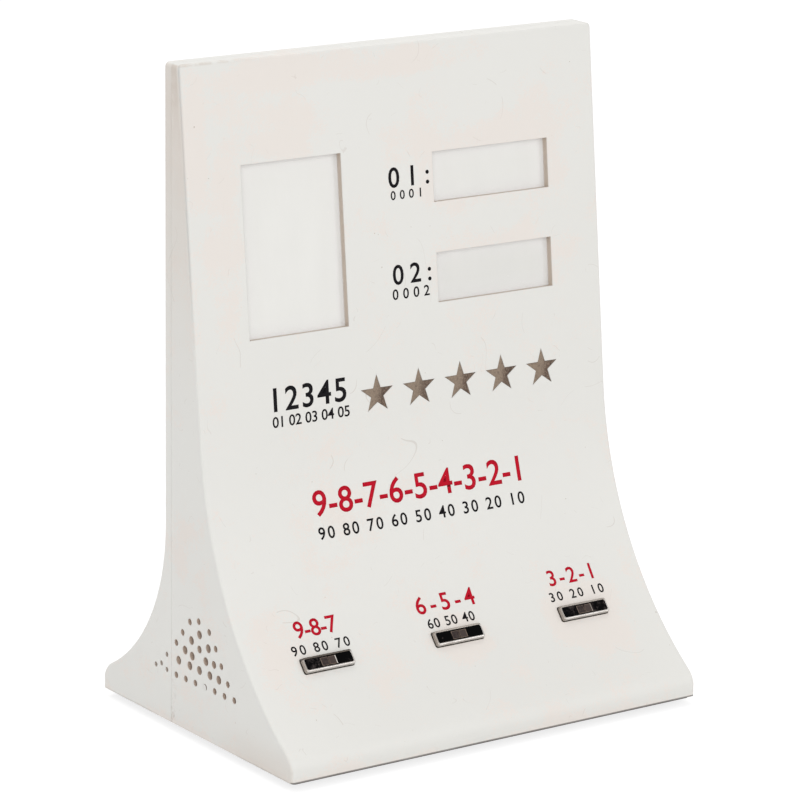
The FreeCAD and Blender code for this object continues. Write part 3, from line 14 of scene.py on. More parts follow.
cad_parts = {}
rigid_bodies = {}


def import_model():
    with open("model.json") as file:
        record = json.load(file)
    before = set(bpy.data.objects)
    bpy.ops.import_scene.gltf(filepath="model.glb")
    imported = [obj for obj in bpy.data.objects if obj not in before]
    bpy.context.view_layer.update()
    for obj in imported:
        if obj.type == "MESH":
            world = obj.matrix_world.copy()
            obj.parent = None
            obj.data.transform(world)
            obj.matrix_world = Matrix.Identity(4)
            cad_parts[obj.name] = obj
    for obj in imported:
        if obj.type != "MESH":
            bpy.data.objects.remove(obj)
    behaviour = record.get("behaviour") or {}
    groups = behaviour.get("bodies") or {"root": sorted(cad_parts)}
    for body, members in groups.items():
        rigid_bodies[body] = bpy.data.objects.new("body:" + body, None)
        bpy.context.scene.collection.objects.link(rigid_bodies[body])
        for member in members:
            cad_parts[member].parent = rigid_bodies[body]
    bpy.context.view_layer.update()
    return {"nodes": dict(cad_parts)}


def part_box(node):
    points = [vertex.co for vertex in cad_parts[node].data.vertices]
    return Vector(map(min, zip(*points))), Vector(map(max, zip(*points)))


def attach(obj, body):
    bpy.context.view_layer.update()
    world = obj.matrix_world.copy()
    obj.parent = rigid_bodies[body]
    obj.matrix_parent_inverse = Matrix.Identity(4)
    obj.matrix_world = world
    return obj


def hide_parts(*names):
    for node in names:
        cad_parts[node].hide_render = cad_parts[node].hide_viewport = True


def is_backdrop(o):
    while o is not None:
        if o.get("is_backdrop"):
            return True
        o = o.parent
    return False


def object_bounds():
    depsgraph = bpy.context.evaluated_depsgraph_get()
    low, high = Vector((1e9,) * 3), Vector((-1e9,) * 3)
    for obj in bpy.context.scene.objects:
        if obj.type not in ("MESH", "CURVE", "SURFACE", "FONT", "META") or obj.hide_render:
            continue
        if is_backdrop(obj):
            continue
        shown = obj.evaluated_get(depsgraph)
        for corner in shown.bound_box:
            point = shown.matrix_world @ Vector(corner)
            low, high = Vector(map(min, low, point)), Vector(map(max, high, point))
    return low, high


bl_info = {
    "name": "Feedback Terminal",
    "version": (1, 0, 0),
    "blender": (4, 5, 0),
    "location": "3D View > Sidebar > Terminal",
    "description": "Finishes, prints, fasteners, light and camera for a counter terminal",
    "category": "Object",
}

MM = 0.001
BODY = "terminal"
# Where each key's middle is across the face
KEYS = {"good": -47.75 * MM, "fair": 0.0, "poor": 47.75 * MM}
# How strong the painted highlight on the right edge of each key's light guide is
GLINTS = {"good": 0.9, "fair": 0.0, "poor": 0.25}
# How dark the painted shade on the uphill rim of each key's cap is
UPHILL_RIM_SHADES = {"good": 1.0, "fair": 0.1, "poor": 0.2}
KEY_HALF_LENGTH = 8.8 * MM
KEY_MIDDLE = Vector((0, -30.56 * MM, 29.0 * MM))
KEY_UPHILL = Vector((0, 0.648757, 0.760996))
STAR_MIDDLE = Vector((19.7 * MM, 0, 100.28 * MM))
STAR_PITCH = 15.55 * MM
FACE_TOP = Vector((0, 8.4 * MM, 205.3 * MM))
FACE_OUTWARD = Vector((0, -0.994522, 0.104528))
SIDE = 75 * MM
SEAM = 13.2 * MM
# The face's sweep into the foot is an arc round this point, seen from the side
SWEEP_MIDDLE = Vector((0, -118.807, 104.219)) * MM
SWEEP_RADIUS = 118.5 * MM
GRILLE_LEVEL = 29 * MM
FLASHED_HOLE = Vector((-74.92 * MM, -5.8 * MM, 19.1 * MM))
SCREW_HEAD = 2.6 * MM
SCREW_CORE = 1.2 * MM
REAR_HEAD_HEIGHT = 1.7 * MM
REAR_SEAT = 14.8 * MM
PLATE_HEAD_HEIGHT = 1.1 * MM
SOCKET_LEVEL = 17.1 * MM
CONTACT_SIZE = (1.0 * MM, 6.0 * MM, 0.16 * MM)
CONTACT_SIDE = 1.25 * MM
CONTACT_DEPTH = 27.2 * MM
CONTACT_RISE = 1.62 * MM
BOARD_PITCH = 2.54 * MM
WIRE_PITCH = 1.27 * MM
BEFORE_FACE = -0.2
CAMERA_AIM = Vector((-1.08 * MM, 0, 96.43 * MM))
WARM_PLACES = (
    # middle across, middle up, half width and half height of each rubbed place, in millimetres
    (-63, 150, 7, 30),
    (-36, 183, 17, 9),
    (32, 165, 36, 15),
    (36, 136, 32, 11),
    (-16, 200, 58, 5),
    (-72, 184, 5, 24),
    (-60, 32, 14, 15),
    (0, 28, 12, 7),
    (50, 28, 16, 11),
)

for leftover in list(bpy.data.objects):
    bpy.data.objects.remove(leftover)
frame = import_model()


def screen(red, green, blue):
    """A colour as it shows on a screen, in steps of 255, made linear."""
    return tuple(((step / 255 + 0.055) / 1.055) ** 2.4 for step in (red, green, blue))


def scaled(tint, factor):
    """A colour made deeper, or paler, by a factor."""
    return [part * factor for part in tint]


def colour(label, text, value):
    """A colour that the sidebar shows."""
    return FloatVectorProperty(name=label, description=text, default=screen(*value), size=3,
                               min=0, max=1, subtype="COLOR")


def length(label, text, value):
    """A length that the sidebar shows."""
    return FloatProperty(name=label, description=text, default=value, min=0, unit="LENGTH", precision=5)


def share(label, text, value):
    """A share from 0 to 1 that the sidebar shows."""
    return FloatProperty(name=label, description=text, default=value, min=0, max=1, subtype="FACTOR")


class ShellLook(bpy.types.PropertyGroup):
    """Colours and surface of the two moulded shells."""

    plastic: colour("Plastic", "Front shell's moulded plastic", (228, 227, 222))
    rear_plastic: colour("Rear plastic", "Rear shell, moulded a shade lighter", (229, 228, 223))
    shade: colour("Shade", "Slow drift of the plastic's tone", (225, 224, 219))
    blush: colour("Blush", "Rubbed patches near the foot and the keys", (233, 223, 215))
    # This colour is dust in the corners together with the painted shade that falls there
    corner_dust_and_shade: colour("Grime", "Dust that has settled in the corners", (176, 158, 142))
    flank: colour("Flank", "Upper part of the side walls, gone beige", (219, 211, 202))
    # This colour is painted shade on the window walls, and it also stains the top's rim and lip
    wall_shade_and_rim_stain: colour("Cut edge", "Walls of the windows, where the plastic is bare", (196, 182, 168))
    # This colour is painted shade on the walls of the grille holes
    hole: colour("Hole", "Walls of the grille holes", (204, 186, 171))
    # This colour is the painted shadow line of the gap along the toe's lower edge
    lower_edge_shadow: colour("Lower edge", "Dirty line along the toe's lower edge", (84, 78, 74))
    speck: colour("Speck", "Small marks of use", (168, 150, 134))
    roughness: share("Roughness", "Dullness of the plastic", 0.42)
    grain: length("Grain", "Depth of the fine grain", 0.00003)


class FaceLook(bpy.types.PropertyGroup):
    """Windows, stars and prints of the face."""

    card: colour("Card", "Blank cards behind the windows", (242, 241, 236))
    pane: colour("Pane", "Clear panes", (244, 243, 238))
    pane_cover: share("Pane cover", "How much a pane hides what is behind it", 0.85)
    star: colour("Star", "Smoky star windows", (137, 121, 105))
    # This colour is the painted shadow of the opening's wall on each star's right; it also darkens the
    # lamp's dot and some blotches
    star_shade: colour("Star shade", "Deep side of each star window", (92, 74, 62))
    black_ink: colour("Black ink", "Black prints", (12, 10, 14))
    red_ink: colour("Red ink", "Red prints", (190, 10, 38))
    film: length("Ink film", "Thickness of the printed ink", 0.00004)


class KeyLook(bpy.types.PropertyGroup):
    """The three keys."""

    plating: colour("Plating", "Bright plating of a key's cap", (196, 192, 188))
    # This colour is also painted dark reflection at each cap's left end and painted shade on its uphill
    # rim
    tarnish_and_shade: colour("Tarnish", "Dull haze on the plating", (150, 140, 130))
    lens: colour("Lens", "Glossy lens of a key", (3, 3, 4))
    smear: colour("Smear", "Finger haze on a lens", (78, 70, 68))
    guide: colour("Light guide", "Right half of a key's smoky light guide", (66, 55, 51))
    guide_shade: colour("Light guide's shade", "Left half of a key's smoky light guide", (42, 32, 30))
    guide_edge: colour("Guide edge", "Bright edges of a light guide", (136, 118, 104))


class InsideLook(bpy.types.PropertyGroup):
    """Base plate, fasteners and the parts inside."""

    lacquer: colour("Lacquer", "Lacquer of the base plate", (92, 88, 85))
    zinc: colour("Zinc", "Plated steel of screws and spacers", (196, 194, 186))
    rubber: colour("Rubber", "Rubber feet", (44, 44, 45))
    board: colour("Board", "Solder mask of the circuit boards", (22, 92, 52))
    trace: colour("Trace", "Copper under the solder mask", (46, 128, 74))
    epoxy: colour("Epoxy", "Chip cases", (26, 26, 28))
    nylon: colour("Nylon", "Plugs and switch stems", (232, 226, 208))
    steel: colour("Steel", "Tinned steel of socket and basket", (178, 178, 176))
    gold: colour("Gold", "Contacts of the data socket", (214, 172, 84))
    ribbon: colour("Ribbon", "Flat leads", (170, 170, 168))
    cone: colour("Cone", "Paper cone of the speaker", (114, 100, 86))


class StageLook(bpy.types.PropertyGroup):
    """Floor, light and camera."""

    floor_size: length("Floor", "Side of the square floor", 9.0)
    floor: colour("Floor colour", "Pale floor", (232, 232, 232))
    key_power: FloatProperty(name="Key light", description="Soft light from the right",
                             default=6.0, min=0, unit="POWER")
    front_power: FloatProperty(name="Front light", description="Large soft light beside the camera",
                               default=12.6, min=0, unit="POWER")
    left_power: FloatProperty(name="Left light", description="Soft light from the left",
                              default=2.6, min=0, unit="POWER")
    top_power: FloatProperty(name="Top light", description="Soft light from above and behind",
                             default=9.8, min=0, unit="POWER")
    room: share("Room light", "Even light from all round", 0.63)
    lens: FloatProperty(name="Focal length", description="Camera lens for a 36 mm wide picture",
                        default=188.17, min=1, unit="CAMERA")
    distance: length("Distance", "Camera to the point that it looks at", 1.2773)
    azimuth: FloatProperty(name="Azimuth", description="Camera's turn round the terminal",
                           default=math.radians(-35.05), subtype="ANGLE")
    elevation: FloatProperty(name="Elevation", description="Camera's height above the horizon",
                             default=math.radians(14.63), subtype="ANGLE")
    roll: FloatProperty(name="Roll", description="Camera's tilt about its own axis",
                        default=math.radians(0.774), subtype="ANGLE")


LOOKS = {
    "terminal_shell": ShellLook,
    "terminal_face": FaceLook,
    "terminal_keys": KeyLook,
    "terminal_inside": InsideLook,
    "terminal_stage": StageLook,
}


class Signal:
    """A value that varies over a surface; sums on it add Math nodes to its finish."""

    def __init__(self, chart, socket):
        self.chart = chart
        self.socket = socket

    def also(self, output):
        """Another output of the same node."""
        return Signal(self.chart, self.socket.node.outputs[output])

    def __add__(self, other):
        return self.chart.maths("ADD", self, other)

    def __sub__(self, other):
        return self.chart.maths("SUBTRACT", self, other)

    def __rsub__(self, other):
        return self.chart.maths("SUBTRACT", other, self)

    def __mul__(self, other):
        return self.chart.maths("MULTIPLY", self, other)

    def __lt__(self, other):
        return self.chart.maths("LESS_THAN", self, other)

    def __gt__(self, other):
        return self.chart.maths("GREATER_THAN", self, other)

    def __abs__(self):
        return self.chart.maths("ABSOLUTE", self)

    __radd__ = __add__
    __rmul__ = __mul__


class Chart:
    """A node tree that is built from nothing."""

    def __init__(self, owner):
        owner.use_nodes = True
        self.tree = owner.node_tree
        self.tree.nodes.clear()

    def add(self, kind, sockets=None, out=0, stops=None, **settings):
        """Add a node: its settings first, then the values or links of its sockets."""
        node = self.tree.nodes.new(kind)
        for setting, value in settings.items():
            setattr(node, setting, value)
        for place, value in enumerate(stops or ()):
            ramp = node.color_ramp.elements
            stop = ramp[place] if place < len(ramp) else ramp.new(value[0])
            stop.position = value[0]
            stop.color = (*value[1], 1)
        for name, value in (sockets or {}).items():
            socket = node.inputs[name]
            if isinstance(value, Signal):
                self.tree.links.new(value.socket, socket)
            elif socket.type == "RGBA":
                socket.default_value = (*value, 1)
            else:
                socket.default_value = value
        return Signal(self, node.outputs[out]) if len(node.outputs) else None

    def maths(self, operation, *values):
        """One sum."""
        return self.add("ShaderNodeMath", dict(enumerate(values)), operation=operation)

    def looked_at(self):
        """1 where a camera, glossy or transmission ray arrives: these see a plain white room."""
        rays = self.add("ShaderNodeLightPath", out="Is Camera Ray")
        seen = self.maths("MAXIMUM", rays, rays.also("Is Glossy Ray"))
        return self.maths("MAXIMUM", seen, rays.also("Is Transmission Ray"))


class Finish(Chart):
    """A material, read in the object's own coordinates."""

    def __init__(self, name):
        self.material = bpy.data.materials.new(name)
        super().__init__(self.material)
        self.place = self.add("ShaderNodeTexCoord", out="Object")
        self.x = self.add("ShaderNodeSeparateXYZ", {"Vector": self.place}, out="X")
        self.y = self.x.also("Y")
        self.z = self.x.also("Z")

    def noise(self, scale, detail=2.0, rough=0.5, place=None, distortion=0.0):
        """Soft random variation; the scale is in waves to a metre."""
        return self.add("ShaderNodeTexNoise", {
            "Vector": place or self.place, "Scale": scale, "Detail": detail,
            "Roughness": rough, "Distortion": distortion,
        })

    def ramp(self, value, low, high):
        """0 below low and 1 above high, with a soft passage."""
        return self.add("ShaderNodeMapRange", {"Value": value, "From Min": low, "From Max": high},
                        interpolation_type="SMOOTHSTEP")

    def stretched(self, scale, turn=(0, 0, 0)):
        """Coordinates that are turned and stretched, for marks with a direction."""
        return self.add("ShaderNodeMapping", {"Vector": self.place, "Rotation": turn, "Scale": scale})

    def blend(self, mask, under, over):
        """Lay one colour over another where the mask is 1."""
        return self.add("ShaderNodeMix", {0: mask, 6: under, 7: over}, out=2, data_type="RGBA")

    def specks(self, scale, radius, chance):
        """Scattered round marks; the radius is a share of a cell."""
        cell = self.add("ShaderNodeTexVoronoi", {"Vector": self.place, "Scale": scale}, out="Distance")
        draw = self.add("ShaderNodeSeparateColor", {"Color": cell.also("Color")}, out="Red")
        return (cell < radius * (draw + 0.5)) * (draw.also("Green") < chance)

    def hairs(self, scale, width, chance):
        """Short thin curved scratches."""
        line = abs(self.noise(scale, 1.0) - 0.5) < width
        pick = self.noise(scale * 2.3, 1.0, 0.5, self.stretched((1, 1.3, 0.8)))
        return line * self.ramp(pick, chance, chance + 0.02)

    def wrapped(self, value, pitch):
        """Fold a length onto one step of a repeat, with its middle at zero."""
        return self.maths("WRAP", value, pitch / 2, -pitch / 2)

    def patch(self, middle_x, middle_z, half_width, half_height):
        """1 in the middle of an upright oval and 0 outside it."""
        across = (self.x - middle_x * MM) * (1 / (half_width * MM))
        upward = (self.z - middle_z * MM) * (1 / (half_height * MM))
        return self.ramp(across * across + upward * upward, 1.5, 0.2)

    def uphill(self):
        """How far above the keys' middle a point lies, up the sloped foot."""
        return (self.y - KEY_MIDDLE.y) * KEY_UPHILL.y + (self.z - KEY_MIDDLE.z) * KEY_UPHILL.z

    def corners(self, reach, samples):
        """1 in the open, and less near walls that stand within this reach."""
        return self.add("ShaderNodeAmbientOcclusion", {"Distance": reach}, out="AO", samples=samples)

    def between(self, mask, first, second):
        """One direction mixed into another."""
        return self.add("ShaderNodeMix", {0: mask, 4: first, 5: second}, out=1, data_type="VECTOR")

    def rounded(self, radius):
        """A normal that rounds every edge off by this radius."""
        return self.add("ShaderNodeBevel", {"Radius": radius}, samples=6)

    def bump(self, height, distance, strength=1.0, under=None):
        """A normal for small relief."""
        sockets = {"Height": height, "Distance": distance, "Strength": strength}
        if under:
            sockets["Normal"] = under
        return self.add("ShaderNodeBump", sockets)

    def done(self, **sockets):
        """Close the material with its shader; a socket's name has underscores between its words."""
        named = {name.replace("_", " "): value for name, value in sockets.items()}
        shader = self.add("ShaderNodeBsdfPrincipled", named)
        self.add("ShaderNodeOutputMaterial", {"Surface": shader})
        return self.material


def dress(material, *names):
    """Give CAD nodes their finish."""
    for name in names:
        for place in frame["nodes"][name].material_slots:
            place.material = material


def select(*things):
    """Select these objects alone, the first one active."""
    bpy.ops.object.select_all(action="DESELECT")
    for thing in things:
        thing.select_set(True)
    bpy.context.view_layer.objects.active = things[0]


def apply_modifier(thing, kind, **settings):
    """Add a modifier, set it and apply it."""
    select(thing)
    modifier = thing.modifiers.new(kind.title(), kind)
    for setting, value in settings.items():
        setattr(modifier, setting, value)
    bpy.ops.object.modifier_apply(modifier=modifier.name)


def settle(thing):
    """Put an object's place into its mesh."""
    select(thing)
    bpy.ops.object.transform_apply(location=True, rotation=True, scale=True)


def select_faces(thing, test):
    """In edit mode, select the faces whose middle and normal pass a test."""
    bpy.ops.object.mode_set(mode="EDIT")
    bpy.ops.mesh.select_mode(type="FACE")
    bpy.ops.mesh.select_all(action="DESELECT")
    bpy.ops.object.mode_set(mode="OBJECT")
    for face in thing.data.polygons:
        face.select = test(face.center, face.normal)
    bpy.ops.object.mode_set(mode="EDIT")


def finish_piece(thing, name, material):
    """Name a piece, give it its finish and let it ride on the housing."""
    thing.name = name
    thing.data.materials.clear()
    thing.data.materials.append(material)
    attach(thing, BODY)


def rubbed(paint, plastic, look):
    """A slow drift of the plastic's tone, and warm rubbed places; gives the tone and their mask."""
    drift = paint.ramp(paint.noise(9, 3, 0.55), 0.35, 0.7)
    tone = paint.blend(drift * 0.5, plastic, look.shade)
    near = paint.ramp(paint.z, 6 * MM, 2 * MM)
    for place in WARM_PLACES:
        near = near + paint.patch(*place)
    warm = paint.noise(48, 7, 0.72) + 0.17 * paint.maths("MINIMUM", near, 1.0)
    warm = paint.ramp(warm + 0.7 * paint.noise(1500, 4, 0.9), 0.93, 0.96)
    return paint.blend(warm * 0.6, tone, look.blush), warm


def aged(paint, tone, outer, depth, look):
    """Beige flanks, stains at the top's rim, down the seam and on the foot, a painted shadow line at
    the lower edge, and dust with painted shade in corners.
    """
    high = paint.ramp(paint.z, 90 * MM, 195 * MM)
    beige = outer * high * paint.ramp(depth, 0.8 * MM, 1.8 * MM)
    tone = paint.blend(beige * (0.55 + 0.6 * paint.noise(110, 4, 0.6)), tone, look.flank)
    rim = outer * paint.ramp(paint.z, 182 * MM, 203 * MM) * paint.ramp(depth, 1.5 * MM, 2.4 * MM)
    rim = rim * (paint.y < 13 * MM)
    lip = paint.ramp(paint.z, 204.3 * MM, 205 * MM) * paint.ramp(paint.x, -42 * MM, -64 * MM)
    lip = lip * (depth < 1.5 * MM)
    cloud = paint.ramp(paint.noise(170, 5, 0.7), 0.3, 0.6)
    tone = paint.blend((rim + lip) * cloud * 0.45, tone, look.wall_shade_and_rim_stain)
    seam = paint.ramp(abs(paint.y - 12 * MM), 2.5 * MM, 0.5 * MM) * paint.ramp(paint.z, 24 * MM, 6 * MM)
    stain = outer * seam * paint.ramp(paint.noise(700, 4, 0.7), 0.45, 0.65)
    tone = paint.blend(stain * 0.35, tone, look.speck)
    foot = outer * paint.ramp(paint.z, 15 * MM, 3 * MM) * paint.ramp(paint.y, -8 * MM, -34 * MM)
    tone = paint.blend(foot * 0.6, tone, look.flank)
    toe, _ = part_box("front_shell")
    # Painted shadow line along the toe's lower edge
    shadow_line = paint.ramp(paint.z, toe.z + 0.55 * MM, toe.z + 0.3 * MM)
    shadow_line = shadow_line * paint.ramp(paint.y, toe.y + 1.2 * MM, toe.y + 0.4 * MM)
    tone = paint.blend(shadow_line * (0.6 + 0.4 * paint.noise(90, 3)), tone, look.lower_edge_shadow)
    # Dust and painted shade: darker where nearby walls close in
    dust = paint.ramp(paint.corners(1.6 * MM, 4), 0.62, 0.2) * paint.ramp(paint.noise(260, 3), 0.3, 0.7)
    return paint.blend(dust * 0.35, tone, look.corner_dust_and_shade)


def bare_walls(paint, tone, depth, look):
    """Painted shade on the walls of the windows and of the grille's holes."""
    inside = paint.ramp(depth, 0.05 * MM, 0.4 * MM) * (depth < 2.7 * MM)
    inside = inside * (abs(paint.x) < SIDE - 5 * MM) * (paint.z < 190 * MM)
    # Painted shade on the window walls, strongest near the face
    tone = paint.blend(inside * paint.ramp(depth, 3.2 * MM, 1.4 * MM), tone, look.wall_shade_and_rim_stain)
    forward = paint.y - SWEEP_MIDDLE.y
    below = paint.z - SWEEP_MIDDLE.z
    behind_face = forward * forward + below * below > SWEEP_RADIUS ** 2
    before_back = paint.y + 0.6 * paint.z < 40 * MM
    grille = behind_face * before_back * (abs(paint.z - GRILLE_LEVEL) < 13 * MM) * (paint.x < -70 * MM)
    shallow = 1 - 0.4 * (paint.y > SEAM)
    below_skin = paint.ramp(paint.x, 0.01 * MM - SIDE, 0.1 * MM - SIDE)
    # Painted shade inside the grille holes, weaker in the rear shell
    return paint.blend(grille * shallow * below_skin, tone, look.hole)


def soft_edges(paint, outer, depth):
    """A normal that rounds the housing's edges: more along the sides, and not at the seam."""
    clear_of_grille = 1 - (paint.z < 46 * MM) * (abs(paint.y) < 24 * MM)
    soft = paint.ramp(abs(paint.x), SIDE - 1.8 * MM, SIDE - 1 * MM) * clear_of_grille
    edge = paint.between(soft, paint.rounded(0.2 * MM), paint.rounded(0.9 * MM))
    front_band = outer * paint.ramp(depth, 2.0 * MM, 0.9 * MM) * paint.ramp(paint.z, 90 * MM, 150 * MM)
    edge = paint.between(front_band * 0.5, edge, FACE_OUTWARD)
    at_seam = abs(paint.y - SEAM) < 1.3 * MM
    return paint.between(at_seam, edge, paint.add("ShaderNodeNewGeometry", out="Normal"))


def moulded(name, plastic, look):
    """Moulded plastic with the tones of its age, painted shade in corners, window walls and grille
    holes, a painted shadow line at its lower edge, specks, hair scratches and a fine grain.
    """
    paint = Finish(name)
    outer = paint.ramp(abs(paint.x), SIDE - 0.8 * MM, SIDE - 0.2 * MM)
    depth = (paint.y - FACE_TOP.y) * -FACE_OUTWARD.y - (paint.z - FACE_TOP.z) * FACE_OUTWARD.z
    tone, warm = rubbed(paint, plastic, look)
    tone = aged(paint, tone, outer, depth, look)
    tone = bare_walls(paint, tone, depth, look)
    marks = paint.specks(170, 0.035, 0.22) + paint.specks(420, 0.05, 0.06)
    marks = marks * 0.6 + paint.hairs(105, 0.003, 0.64) * 0.16 + paint.hairs(34, 0.0011, 0.6) * 0.24
    tone = paint.blend(marks, tone, look.speck)
    grain = paint.noise(1700, 2, 0.6) + 0.8 * paint.noise(520, 2) + 2.5 * paint.noise(55, 1)
    relief = paint.bump(grain - 0.5 * marks, look.grain, 0.5, soft_edges(paint, outer, depth))
    dull = look.roughness + 0.12 * paint.noise(240, 3) + 0.1 * warm
    return paint.done(Base_Color=tone, Roughness=dull, Normal=relief)


def paper(name, tint, weave):
    """Card or paper cone with a fibre grain."""
    paint = Finish(name)
    fibre = paint.noise(900, 4, 0.7, paint.stretched((1, 1, 0.35), (0, 0.5, 0)))
    shade = paint.ramp(fibre, 0.35, 0.7) * 0.25 + 0.15 * paint.noise(40, 3)
    tone = paint.blend(shade, tint, scaled(tint, 0.93))
    tone = paint.blend(paint.specks(300, 0.04, 0.05) * 0.4, tone, scaled(tint, 0.6))
    return paint.done(Base_Color=tone, Roughness=0.75, Normal=paint.bump(fibre, weave, 0.5))


def clear_film(name, tint, cover):
    """Clear pane with faint wipe marks and dust, with painted light that makes it a little paler near
    the window's walls, against their shade.
    """
    paint = Finish(name)
    wipe = paint.noise(120, 3, 0.6, paint.stretched((1, 1, 0.25), (0, 0.7, 0)))
    dust = paint.specks(380, 0.05, 0.12)
    dull = 0.06 + 0.16 * paint.ramp(wipe, 0.45, 0.7)
    painted_light_tint = [part + 0.75 * (1 - part) for part in tint]
    # Painted light: paler where the window's walls close in, to lift their shade
    tone = paint.blend(paint.ramp(paint.corners(6 * MM, 6), 0.98, 0.6), tint, painted_light_tint)
    return paint.done(Base_Color=tone, Roughness=dull, Alpha=cover + 0.05 * wipe + 0.5 * dust,
                      Specular_IOR_Level=0.5)


def smoky_stars(name, look):
    """Smoky strip with painted shadow of the opening's wall, smooth and in streaks, on the right of
    each star, and a lamp as a dark dot behind.
    """
    paint = Finish(name)
    across = paint.wrapped(paint.x - STAR_MIDDLE.x, STAR_PITCH)
    upward = paint.z - STAR_MIDDLE.z
    # Painted shadow of the opening's wall, stronger towards the right of each star
    side = paint.ramp(across - 0.25 * upward, -1.6 * MM, 3.4 * MM)
    cloud = paint.noise(380, 4, 0.65)
    shaded_side = paint.ramp(0.7 * side + 0.6 * cloud, 0.34, 0.95)
    tone = paint.blend(shaded_side, look.star, look.star_shade)
    # Dark streaks of painted shadow on the right of each star
    streak = paint.noise(1500, 2, 0.5, paint.stretched((1, 1, 0.12), (0, math.radians(48), 0)))
    tone = paint.blend(paint.ramp(streak, 0.52, 0.62) * side * 0.6, tone, scaled(look.star_shade, 0.45))
    off_lamp = paint.maths("POWER", abs(across + 1.0 * MM) * 1000, 2.0)
    off_lamp = off_lamp + paint.maths("POWER", abs(upward - 0.6 * MM) * 1000, 2.0)
    tone = paint.blend(paint.ramp(off_lamp, 0.3, 0.05) * 0.5, tone, look.star_shade)
    grit = paint.noise(2200, 2, 0.7)
    tone = paint.blend(paint.ramp(grit, 0.45, 0.62) * 0.45, tone, scaled(look.star, 1.45))
    tone = paint.blend(paint.ramp(paint.noise(1200, 3, 0.7), 0.5, 0.3) * 0.4, tone, look.star_shade)
    return paint.done(Base_Color=tone, Roughness=0.3 + 0.2 * grit, Specular_IOR_Level=0.25,
                      Normal=paint.bump(streak, 0.02 * MM, 0.3))


def ink(name, tint):
    """Screen-printed ink, a little worn and uneven."""
    paint = Finish(name)
    wear = paint.ramp(paint.noise(700, 4, 0.7), 0.6, 0.8)
    tone = paint.blend(wear * 0.12, tint, [0.5 + 0.5 * part for part in tint])
    return paint.done(Base_Color=tone, Roughness=0.55 + 0.2 * wear, Specular_IOR_Level=0.1,
                      Normal=paint.bump(paint.noise(1600, 2), 0.02 * MM, 0.4))


def plated(name, tint, haze, gloss, round_edge=0.1 * MM, left_end=None, uphill_rim_shade=0.0):
    """Plated metal with soft edges, haze and small scratches.

    Given its left end, a key's cap is painted darker there as a dark reflection, and painted shade
    darkens its uphill rim.
    """
    paint = Finish(name)
    brush = paint.noise(900, 3, 0.6, paint.stretched((0.12, 1, 1)))
    patch = paint.ramp(paint.noise(260, 4, 0.65), 0.45, 0.75)
    scratch = paint.hairs(300, 0.006, 0.6)
    tone = paint.blend(patch * 0.4 + 0.3 * scratch, tint, haze)
    metal = 1.0
    if left_end is not None:
        # Painted dark reflection at the cap's left end, and painted shade on its uphill rim
        tone = paint.blend(paint.ramp(paint.x, left_end + 0.9 * MM, left_end) * 0.8, tone, haze)
        uphill_rim = paint.ramp(paint.uphill(), 1.5 * MM, 1.8 * MM)
        tone = paint.blend(uphill_rim * 0.6, tone, haze)
        tone = paint.blend(uphill_rim * uphill_rim_shade, tone, scaled(haze, 0.35))
        outward = (paint.z - KEY_MIDDLE.z) * KEY_UPHILL.y - (paint.y - KEY_MIDDLE.y) * KEY_UPHILL.z
        wall = paint.ramp(outward, 1.2 * MM, 1.0 * MM) * paint.ramp(outward, 0.15 * MM, 0.35 * MM)
        metal = 1 - 0.8 * wall
    return paint.done(Base_Color=tone, Metallic=metal, Roughness=gloss + 0.16 * patch + 0.08 * brush,
                      Normal=paint.bump(brush - scratch, 0.02 * MM, 0.25, paint.rounded(round_edge)))


def black_lens(name, look):
    """Glossy black lens with finger haze and dust."""
    paint = Finish(name)
    haze = paint.ramp(paint.noise(700, 5, 0.78, distortion=0.6), 0.48, 0.62)
    haze = haze * paint.ramp(paint.noise(130, 1), 0.4, 0.55) * paint.ramp(abs(paint.x), 8 * MM, 40 * MM)
    haze = haze + 0.5 * paint.specks(1100, 0.2, 0.12)
    tone = paint.blend(haze * 0.75, look.lens, look.smear)
    return paint.done(Base_Color=tone, Roughness=0.1 + 0.3 * haze, Specular_IOR_Level=0.03,
                      Normal=paint.bump(haze, 0.02 * MM, 0.4))


def smoky_guide(name, middle, glint, look):
    """Smoky light guide in two halves, the left one deeper, with bright edges and middle groove."""
    paint = Finish(name)
    across = paint.x - middle
    grit = paint.noise(1300, 4, 0.75)
    tone = paint.blend(paint.ramp(across, -0.2 * MM, 0.2 * MM), look.guide_shade, look.guide)
    tone = paint.blend(paint.ramp(grit, 0.42, 0.6) * 0.7, tone, look.guide)
    edge = paint.ramp(abs(across), 2.42 * MM, 2.62 * MM)
    edge = edge + paint.ramp(abs(paint.uphill()), 1.08 * MM, 1.26 * MM)
    edge = edge + 0.7 * paint.ramp(abs(across), 0.32 * MM, 0.18 * MM)
    edge = paint.maths("MINIMUM", edge, 1.0) * paint.ramp(paint.noise(900, 3), 0.3, 0.55)
    tone = paint.blend(edge * 0.75, tone, look.guide_edge)
    # Painted highlight on the right edge of the light guide
    tone = paint.blend(paint.ramp(across, 2.4 * MM, 2.55 * MM) * glint, tone, (0.8, 0.76, 0.7))
    return paint.done(Base_Color=tone, Roughness=0.2 + 0.2 * grit, Specular_IOR_Level=0.2,
                      Normal=paint.bump(grit, 0.02 * MM, 0.3))


def plain_plastic(name, tint, rough=0.45, scale=900, relief=0.02 * MM):
    """Matt moulded plastic or rubber with grain and dust."""
    paint = Finish(name)
    grain = paint.noise(scale, 3, 0.6)
    dust = paint.ramp(paint.noise(90, 4, 0.65), 0.5, 0.75)
    mask = paint.ramp(grain, 0.3, 0.7) * 0.2 + 0.25 * dust
    tone = paint.blend(mask, tint, [0.12 + 0.8 * part for part in tint])
    return paint.done(Base_Color=tone, Roughness=rough + 0.15 * dust,
                      Normal=paint.bump(grain, relief, 0.5))


